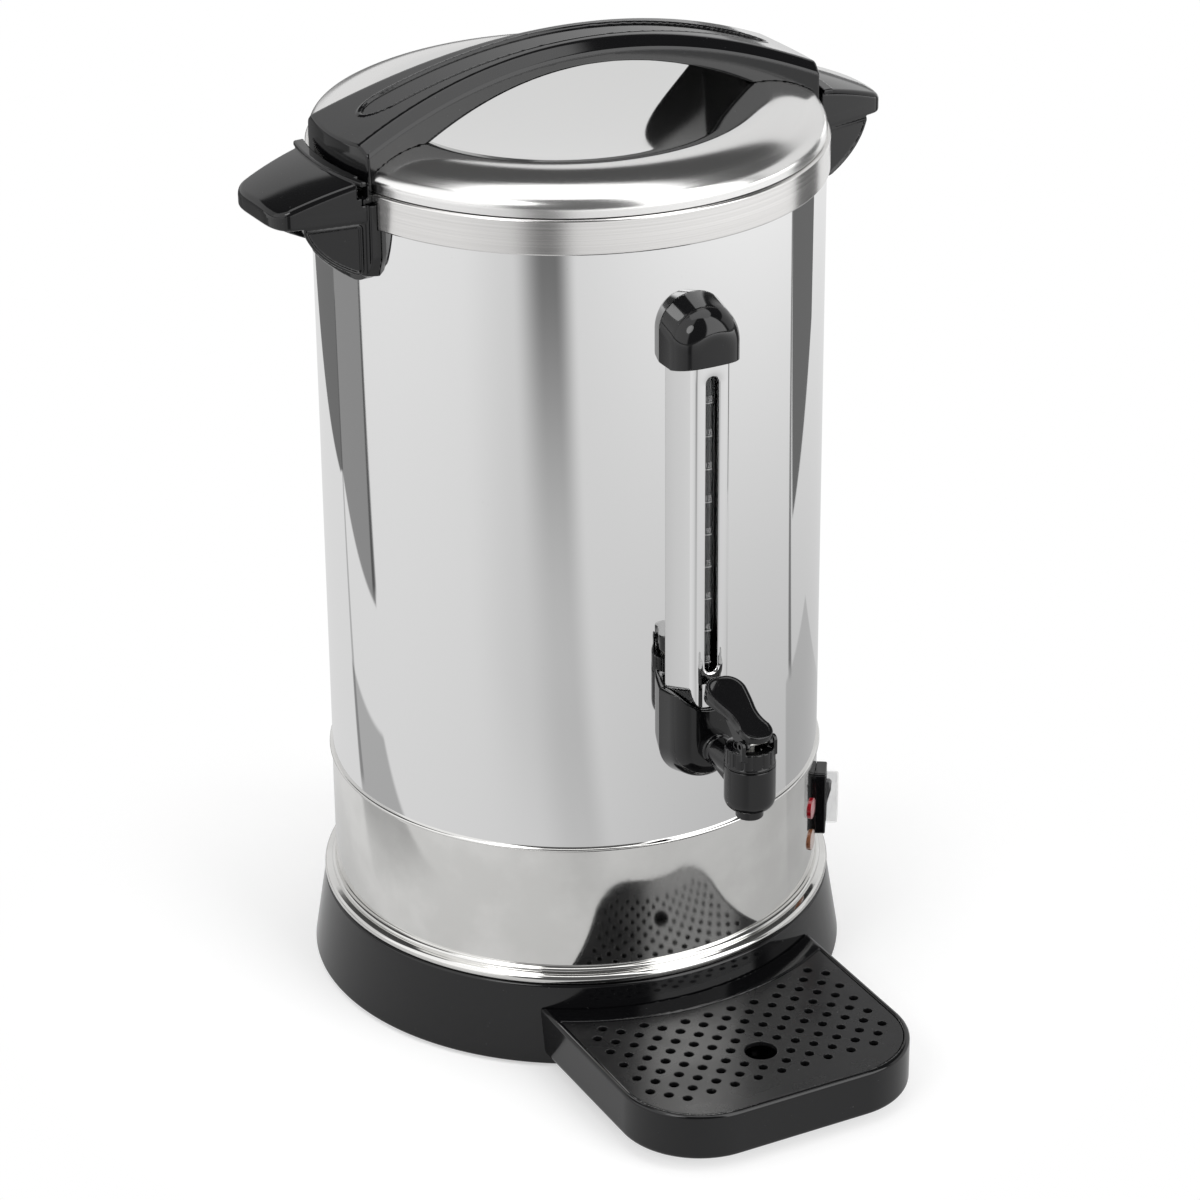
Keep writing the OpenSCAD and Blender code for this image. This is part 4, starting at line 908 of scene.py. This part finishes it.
def drip_tray(x, y, z):
    r = np.hypot(x, y)
    wall = tray_plan(x, y, 0)
    d = both(both(wall, z - 38, 2.4), 8.8 - z, 3.0)
    seat = both(both(tray_plan(x, y, 3.6), 175.2 - r, 0.6), 34.2 - z, 0.6)
    pan = both(both(tray_plan(x, y, 7.6), 179.2 - r, 3.0), 11.3 - z, 2.0)
    d = both(both(d, -seat, 0.8), -pan, 0.8)
    d = both(d, skirt_r(z) + 0.6 - r, 0.6)
    tongue = both(both(np.abs(np.abs(x) - 45) - 9, np.abs(z - 15) - 4, 0.8), both(r - 168, 155 - r, 0.8), 0.8)
    return near(d, np.where(y < 0, tongue, 9.0), 0.8)


def tray_outline(inset, rear):
    half, front, radius = TRAY_HALF - inset, TRAY_FRONT - inset, TRAY_CORNER - inset
    reach = math.degrees(math.acos(half / rear))
    back = arc((0, 0), rear, -180 + reach, -reach, 60)
    right = arc((half - radius, -front + radius), radius, 0, -90, 16)
    left = arc((-half + radius, -front + radius), radius, -90, -180, 16)
    return back + right + left


def drain_spots():
    spots = []
    for j in range(12):
        for k in range(-12, 13):
            x, y = 7.8 * k, 168.9 + 8.15 * j
            corner = (max(0, abs(x) - TRAY_HALF + TRAY_CORNER), max(0, y - TRAY_FRONT + TRAY_CORNER))
            clear_of_edge = math.hypot(x, y) > 182.5 and math.hypot(*corner) < 39.4
            if (k + j) % 2 and clear_of_edge and math.hypot(x, y - DRAIN_Y) > 14.05:
                spots.append((x, -y))
    return spots


def tray_grille():
    loops = [tray_outline(3.9, 175.5)]
    loops.append(arc((0, -DRAIN_Y), DRAIN_R, 0, 360, 40)[:-1])
    loops += [arc(spot, 2.8, 0, 360, 20)[:-1] for spot in drain_spots()]
    return filled("tray_grille", loops, 34.5, 37.5, 0.35)


piece("tray_pan", mould("tray_pan", drip_tray, (-95, -289, 7), (95, -128, 40), 1.0), GLOSS, "tray",
      "gloss_black", "drip_tray")
piece("tray_grille", tray_grille(), SATIN, "grille", "satin_black", "drip_grille")


# Switch and pilot lamps, drawn at the front and turned to their places

SWITCH_TURN, SWITCH_Z, SWITCH_SHIFT = math.radians(57 - 90), 103.5, 5.5
LAMP_Z = {"red": 106, "amber": 84}
ROCKER = [(144, -6), (144, 6), (151, 9.5), (158.6, 10.6), (160.2, 9), (157.6, -1), (157.4, -13.6),
          (156.2, -14.6), (151, -13)]


def switch_frame(x, y, z):
    up = z - SWITCH_Z
    rim = both(rounded_box(y + SWITCH_SHIFT, up, 9.3, 21, 1.6), x - 157, 1.0)
    rim = both(rim, 150.5 - np.hypot(x, y), 0.2)
    back = both(rounded_box(y + SWITCH_SHIFT, up, 8.5, 19.5, 1.0), both(x - 153, 122.5 - x, 0.5), 0.5)
    pocket = both(rounded_box(y + SWITCH_SHIFT, up, 6.8, 17.2, 0.8), 130.4 - x, 0.4)
    return both(near(rim, back, 0.4), -pocket, 0.6)


def rocker(x, y, z):
    up = z - SWITCH_Z
    d = both(shape_2d(x, up, ROCKER), np.abs(y + SWITCH_SHIFT) - 6.2, 0.8)
    return both(d, 1.55 - np.hypot(x - 148, up), 0.2)


def clear_cover(x, y, z):
    up = z - SWITCH_Z
    shell = both(rounded_box(y + SWITCH_SHIFT, up - 0.8, 7.6, 14.8, 1.6), x - 164.4, 1.6)
    inner = both(rounded_box(y + SWITCH_SHIFT, up - 0.8, 6.8, 14.0, 1.0), x - 163.6, 1.2)
    return both(both(shell, -inner, 0.3), 157.05 - x, 0.1)


def lens_at(z0):
    def lens(x, y, z):
        r = np.hypot(y, z - z0)
        return both(both(r - 6.6, np.hypot(x - 127.0, r) - 25.8, 0.6), 136.5 - x, 0.2)
    return lens


def lamp_rings(x, y, z):
    """Thin collars that hold the lenses against the band."""
    d = 9.0
    for z0 in LAMP_Z.values():
        r = np.hypot(y, z - z0)
        d = np.minimum(d, both(both(r - 6.3, 5.2 - r, 0.2), np.abs(x - 150.2) - 0.7, 0.2))
    return d


piece("switch_surround", mould("switch_surround", switch_frame, (121, -16, 81), (158.5, 16, 126), 0.6,
                               spin(SWITCH_TURN)), GLOSS, "body", "gloss_black", "switch_frame")
piece("switch_rocker", mould("switch_rocker", rocker, (143, -11, 87), (162, 11, 119), 0.5, spin(SWITCH_TURN)),
      GLOSS, "rocker", "gloss_black", "rocker")
piece("switch_guard", mould("switch_guard", clear_cover, (156, -13, 84.5), (166, 13, 122.5), 0.5,
                            spin(SWITCH_TURN)), CLEAR, "body", "clear_cover", "switch_cover")
for name, finish in (("red", RED), ("amber", AMBER)):
    z0 = LAMP_Z[name]
    box = ((135.5, -7, z0 - 7), (155.5, 7, z0 + 7))
    piece("pilot_" + name, mould("pilot_" + name, lens_at(z0), *box, 0.4, spin(LAMP_TURN)), finish, "body",
          name + "_lens", "lamp_" + name)
piece("pilot_rings", mould("pilot_rings", lamp_rings, (149, -8, 76), (151.5, 8, 114), 0.4, spin(LAMP_TURN)),
      BEZEL, "body", "lamp_bezel", "lamp_bezels")


# Power inlet: the face and blades inside its frame

INLET_LOW, INLET_HIGH = (np.array(corner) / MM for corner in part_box("power_inlet"))
INLET_X, INLET_Z = (INLET_LOW[0] + INLET_HIGH[0]) / 2, (INLET_LOW[2] + INLET_HIGH[2]) / 2
INLET_W, INLET_H = 0.3 * (INLET_HIGH[0] - INLET_LOW[0]), 0.32 * (INLET_HIGH[2] - INLET_LOW[2])
BLADES = ((-5.5, -1.2), (0, 1.6), (5.5, -1.2))


def inlet_face(x, y, z):
    """A plate just proud of the band, inside the frame."""
    plan = rounded_box(x - INLET_X, z - INLET_Z, INLET_W, INLET_H, 1.0)
    return both(plan, np.abs(y - 150.2) - 0.9, 0.3)


def inlet_blades(x, y, z):
    d = 9.0
    for off, up in BLADES:
        blade = rounded_box(x - INLET_X - off, z - INLET_Z - up, 0.9, 2.0, 0.3)
        d = np.minimum(d, both(blade, np.abs(y - 151.6) - 1.4, 0.3))
    return d


INLET_BOX = ((INLET_X - 20, 148.5, INLET_Z - 14), (INLET_X + 20, 154, INLET_Z + 14))
piece("inlet_face", mould("inlet_face", inlet_face, *INLET_BOX, 0.5), GLOSS, "body", "gloss_black")
piece("inlet_blades", mould("inlet_blades", inlet_blades, *INLET_BOX, 0.4), ZINC, "body", "zinc")


# CAD nodes that stay, with their finishes

STAY = {
    ZINC: ("base_screws", "tie_bolt", "tie_nut", "shell_screws", "lid_screws", "lever_pin", "rocker_pin",
           "valve_spring", "tap_nut"),
    ALUMINIUM: ("bottom_plate", "heat_plate"),
    ELEMENT: ("heating_element",),
    TANK: ("inner_tank",),
    CASE: ("boil_thermostat", "keep_warm_thermostat", "thermal_cutout"),
    CERAMIC: ("terminal_block",),
    RUBBER: ("rubber_feet", "upper_tube_seal", "lower_tube_seal", "tap_gasket"),
    SILICONE: ("lid_gasket", "seat_cup"),
    NYLON: ("tap_stem",),
    GLOSS: ("power_inlet",),
    DARK_STRIP: ("gauge_scale",),
    TUBE: ("sight_tube",),
}
for finish, names in STAY.items():
    for name in names:
        mesh = NODES[name].data
        mesh.materials.clear()
        mesh.materials.append(finish.material)


# Camera, floor and light

EYE = (-0.997041, -1.942648, 1.28078)
RIGHT = (0.884604, -0.466289, -0.00706)
UP = (0.207673, 0.380334, 0.901232)
AHEAD = (0.41755, 0.798699, -0.43328)
FOCAL_PX, PHOTO_PX, SENSOR_MM = 3962.694, 1200, 36.0


def camera():
    lens = bpy.data.cameras.new("viewpoint")
    lens.sensor_width = SENSOR_MM
    lens.lens = SENSOR_MM * FOCAL_PX / PHOTO_PX
    lens.clip_end = 30.0
    made = bpy.data.objects.new("viewpoint", lens)
    back = [-c for c in AHEAD]
    made.matrix_world = Matrix([(*row, e) for row, e in zip(zip(RIGHT, UP, back), EYE)] + [(0, 0, 0, 1)])
    bpy.context.scene.collection.objects.link(made)
    bpy.context.scene.camera = made


def floor_frame():
    """Level directions to the viewer's right and away from the viewer."""
    away = np.array(AHEAD[:2]) / np.linalg.norm(AHEAD[:2])
    return np.array((away[1], -away[0])), away


def plainly_seen(tree):
    """1 for the camera, also through clear plastic, and 0 for light and reflections."""
    rays = tree.node("ShaderNodeLightPath").socket.node
    direct, through = (Wire(tree, rays.outputs[kind]) for kind in ("Is Camera Ray", "Is Transmission Ray"))
    return direct.math("MAXIMUM", through)


def floor():
    """White paper with the urn's shadow close by. Reflections see a painted floor instead: painted
    brightness, painted shadow patches, a painted dim strip, painted dark table edges and a painted shadow
    close to the urn.
    """
    across, away = floor_frame()
    points = [tuple((across * a + away * b) / MM) + (0.0,) for a, b in ((-8, -8), (8, -8), (8, 8), (-8, 8))]
    mesh = mesh_of("floor", points, [[0, 1, 2, 3]])
    f = Finish("floor_paper", Roughness=1.0, Specular_IOR_Level=0.0, Emission_Strength=1.0)
    x, y, _ = f.split(f.spot())
    a = x * float(across[0]) + y * float(across[1])
    b = x * float(away[0]) + y * float(away[1])
    reach = (x * x + y * y).math("SQRT")
    ahead = b * -1

    def beyond(start, end, soft=0.006):
        """1 on the left of a line from start to end, seen from above."""
        along = np.subtract(end, start) / math.dist(start, end)
        off = (b - start[1]) * float(along[0]) - (a - start[0]) * float(along[1])
        return off.step(-soft, soft)

    def stroke(start, end, width):
        """1 on a line from start to end."""
        along = np.subtract(end, start) / math.dist(start, end)
        off = (b - start[1]) * float(along[0]) - (a - start[0]) * float(along[1])
        far = (a - start[0]) * float(along[0]) + (b - start[1]) * float(along[1])
        ends = far.step(-0.02, 0.02) * (1 - far.step(math.dist(start, end) - 0.03, math.dist(start, end)))
        return (1 - off.math("ABSOLUTE").step(width * 0.4, width)) * ends

    side = a / reach.math("MAXIMUM", 0.05)
    left, right = (side * -1).math("MAXIMUM", 0.0), side.math("MAXIMUM", 0.0)
    # Painted light: the floor's brightness as reflections see it, rising with distance and differing left and
    # right.
    level = 0.66 + reach * 0.08 + left * (0.08 + reach * 0.02) + right * (reach * 0.29 - 0.24)
    # Painted shade: a dark streak and a dim veil on the floor towards the viewer, seen only in reflections.
    run = ahead.math("MAXIMUM", 0.05)
    slant = (a + (run - 0.5) * 0.23) / run
    streak = slant.step(-0.3, -0.03) * (1 - slant.step(0.05, 0.22)) * ahead.step(0.2, 0.4)
    veil = slant.step(-0.95, -0.15) * (1 - slant.step(0.05, 0.22)) * ahead.step(0.3, 0.6)
    level = level * (1 - streak * (0.12 + reach.step(0.65, 1.55) * 0.62)) * (1 - veil * 0.12)
    # Painted shadows: a darker patch left of the urn and another to its right, seen only in reflections.
    level = level * (1 - 0.42 * beyond((-0.36, 0.06), (-0.5, 0.2)) * beyond((-0.5, 0.2), (-0.47, -0.03))
                     * beyond((-0.47, -0.03), (-0.3, -0.17)) * (1 - a.step(-0.36, -0.24)))
    level = level * (1 - 0.24 * beyond((0.5, 0.0), (0.5, 0.35)) * beyond((0.5, 0.35), (0.0, 0.35))
                     * beyond((0.0, -0.12), (0.5, 0.12)) * a.step(0.05, 0.45) * (1 - reach.step(0.6, 0.7)))
    # Painted reflection: dark edges and lines where reflections would see past the sides of a table.
    slope = ((-1.03, 0.7), (-0.36, 0.05))
    upper = b.step(0.42, 0.46)
    edge = (-0.664 - b * 0.205) * (1 - upper) + (-0.836 + b * 0.236) * upper
    gap = (edge - a).step(-0.006, 0.006) * beyond((-0.67, 0.03), (-1.3, 0.28)).flipped("SUBTRACT", 1.0)
    level = level * (1 - gap) + gap * (0.29 - 0.115 * beyond(*slope))
    edge = 0.655 + b * 0.235 + (b - 0.8).math("MAXIMUM", 0.0) * 0.5
    gap = (a - edge).step(-0.006, 0.006) * beyond((0.73, 0.3), (1.33, 0.57))
    level = level * (1 - gap) + gap * 0.155
    level = level * (1 - 0.4 * stroke(*slope, 0.012))
    level = level * (1 - 0.65 * stroke((-0.69, 0.045), (-1.6, 0.405), 0.022))
    level = level * (1 - 0.7 * stroke((0.5, 0.155), (1.6, 0.69), 0.017))
    # Close to the urn, reflections see the painted brightness dimmed by half, a painted shadow, beside the
    # lit diffuse part.
    close = 1 - reach.step(0.2, 0.38)
    seen = plainly_seen(f)
    glow = level * (1 - close * 0.5) * (1 - seen) + (1 - close * 0.55) * seen
    shade = close * (0.32 + seen * 0.3)
    f.set(Emission_Color=f.join(glow, glow, glow), Base_Color=f.join(shade, shade, shade))
    mesh.materials.append(f.material)
    made = bpy.data.objects.new("floor", mesh)
    bpy.context.scene.collection.objects.link(made)


def studio():
    """White to the camera.

    Light and reflections see a bright low wall behind, a dark band, a bright ceiling and two tall panels
    beside a dark gap on the viewer's side.
    """
    world = bpy.data.worlds.new("studio")
    bpy.context.scene.world = world
    t = Tree(world)
    across, away = floor_frame()
    x, y, z = t.split(t.node("ShaderNodeTexCoord", out=0))
    flat = (1 - z * z).math("MAXIMUM", 1e-4).math("SQRT")
    facing = (x * float(away[0]) + y * float(away[1])) / flat
    side = (x * float(across[0]) + y * float(across[1])) / flat
    back = facing.step(-0.05, 0.1)
    low = 1 - z.step(0.53, 0.56)
    top = z.step(0.88, 0.905) * (facing * flat).step(-0.3, -0.2)
    behind = 0.08 + low * 0.72
    right_panel = side.step(0.5, 0.6) * (1 - side.step(0.985, 0.995)) * 2.5
    left_panel = (side * -1).step(0.4, 0.55) * 1.1
    front = 0.12 + right_panel + left_panel
    above = (back * behind + (1 - back) * front) * (1 - top) + top * 2.0
    sky = z.step(-0.01, 0.01)
    glow = above * sky + 0.3 * (1 - sky)
    seen = plainly_seen(t)
    level = glow * (1 - seen) + seen
    t.nodes["Background"].inputs["Strength"].default_value = 1.0
    t.feed(t.nodes["Background"].inputs["Color"], t.join(level, level, level))


def soft_lamp(name, spot, aim, size, power):
    lamp = bpy.data.lights.new(name, "AREA")
    lamp.shape = "DISK"
    lamp.size = size
    lamp.energy = power
    made = bpy.data.objects.new(name, lamp)
    made.location = spot
    way = Matrix.Translation(aim).translation - Matrix.Translation(spot).translation
    made.rotation_euler = way.to_track_quat("-Z", "Y").to_euler()
    bpy.context.scene.collection.objects.link(made)


camera()
floor()
studio()
soft_lamp("left_softbox", (-2.0, -1.2, 2.2), (0, 0, 0.3), 1.2, 14.0)
bpy.context.scene.view_settings.view_transform = "Standard"
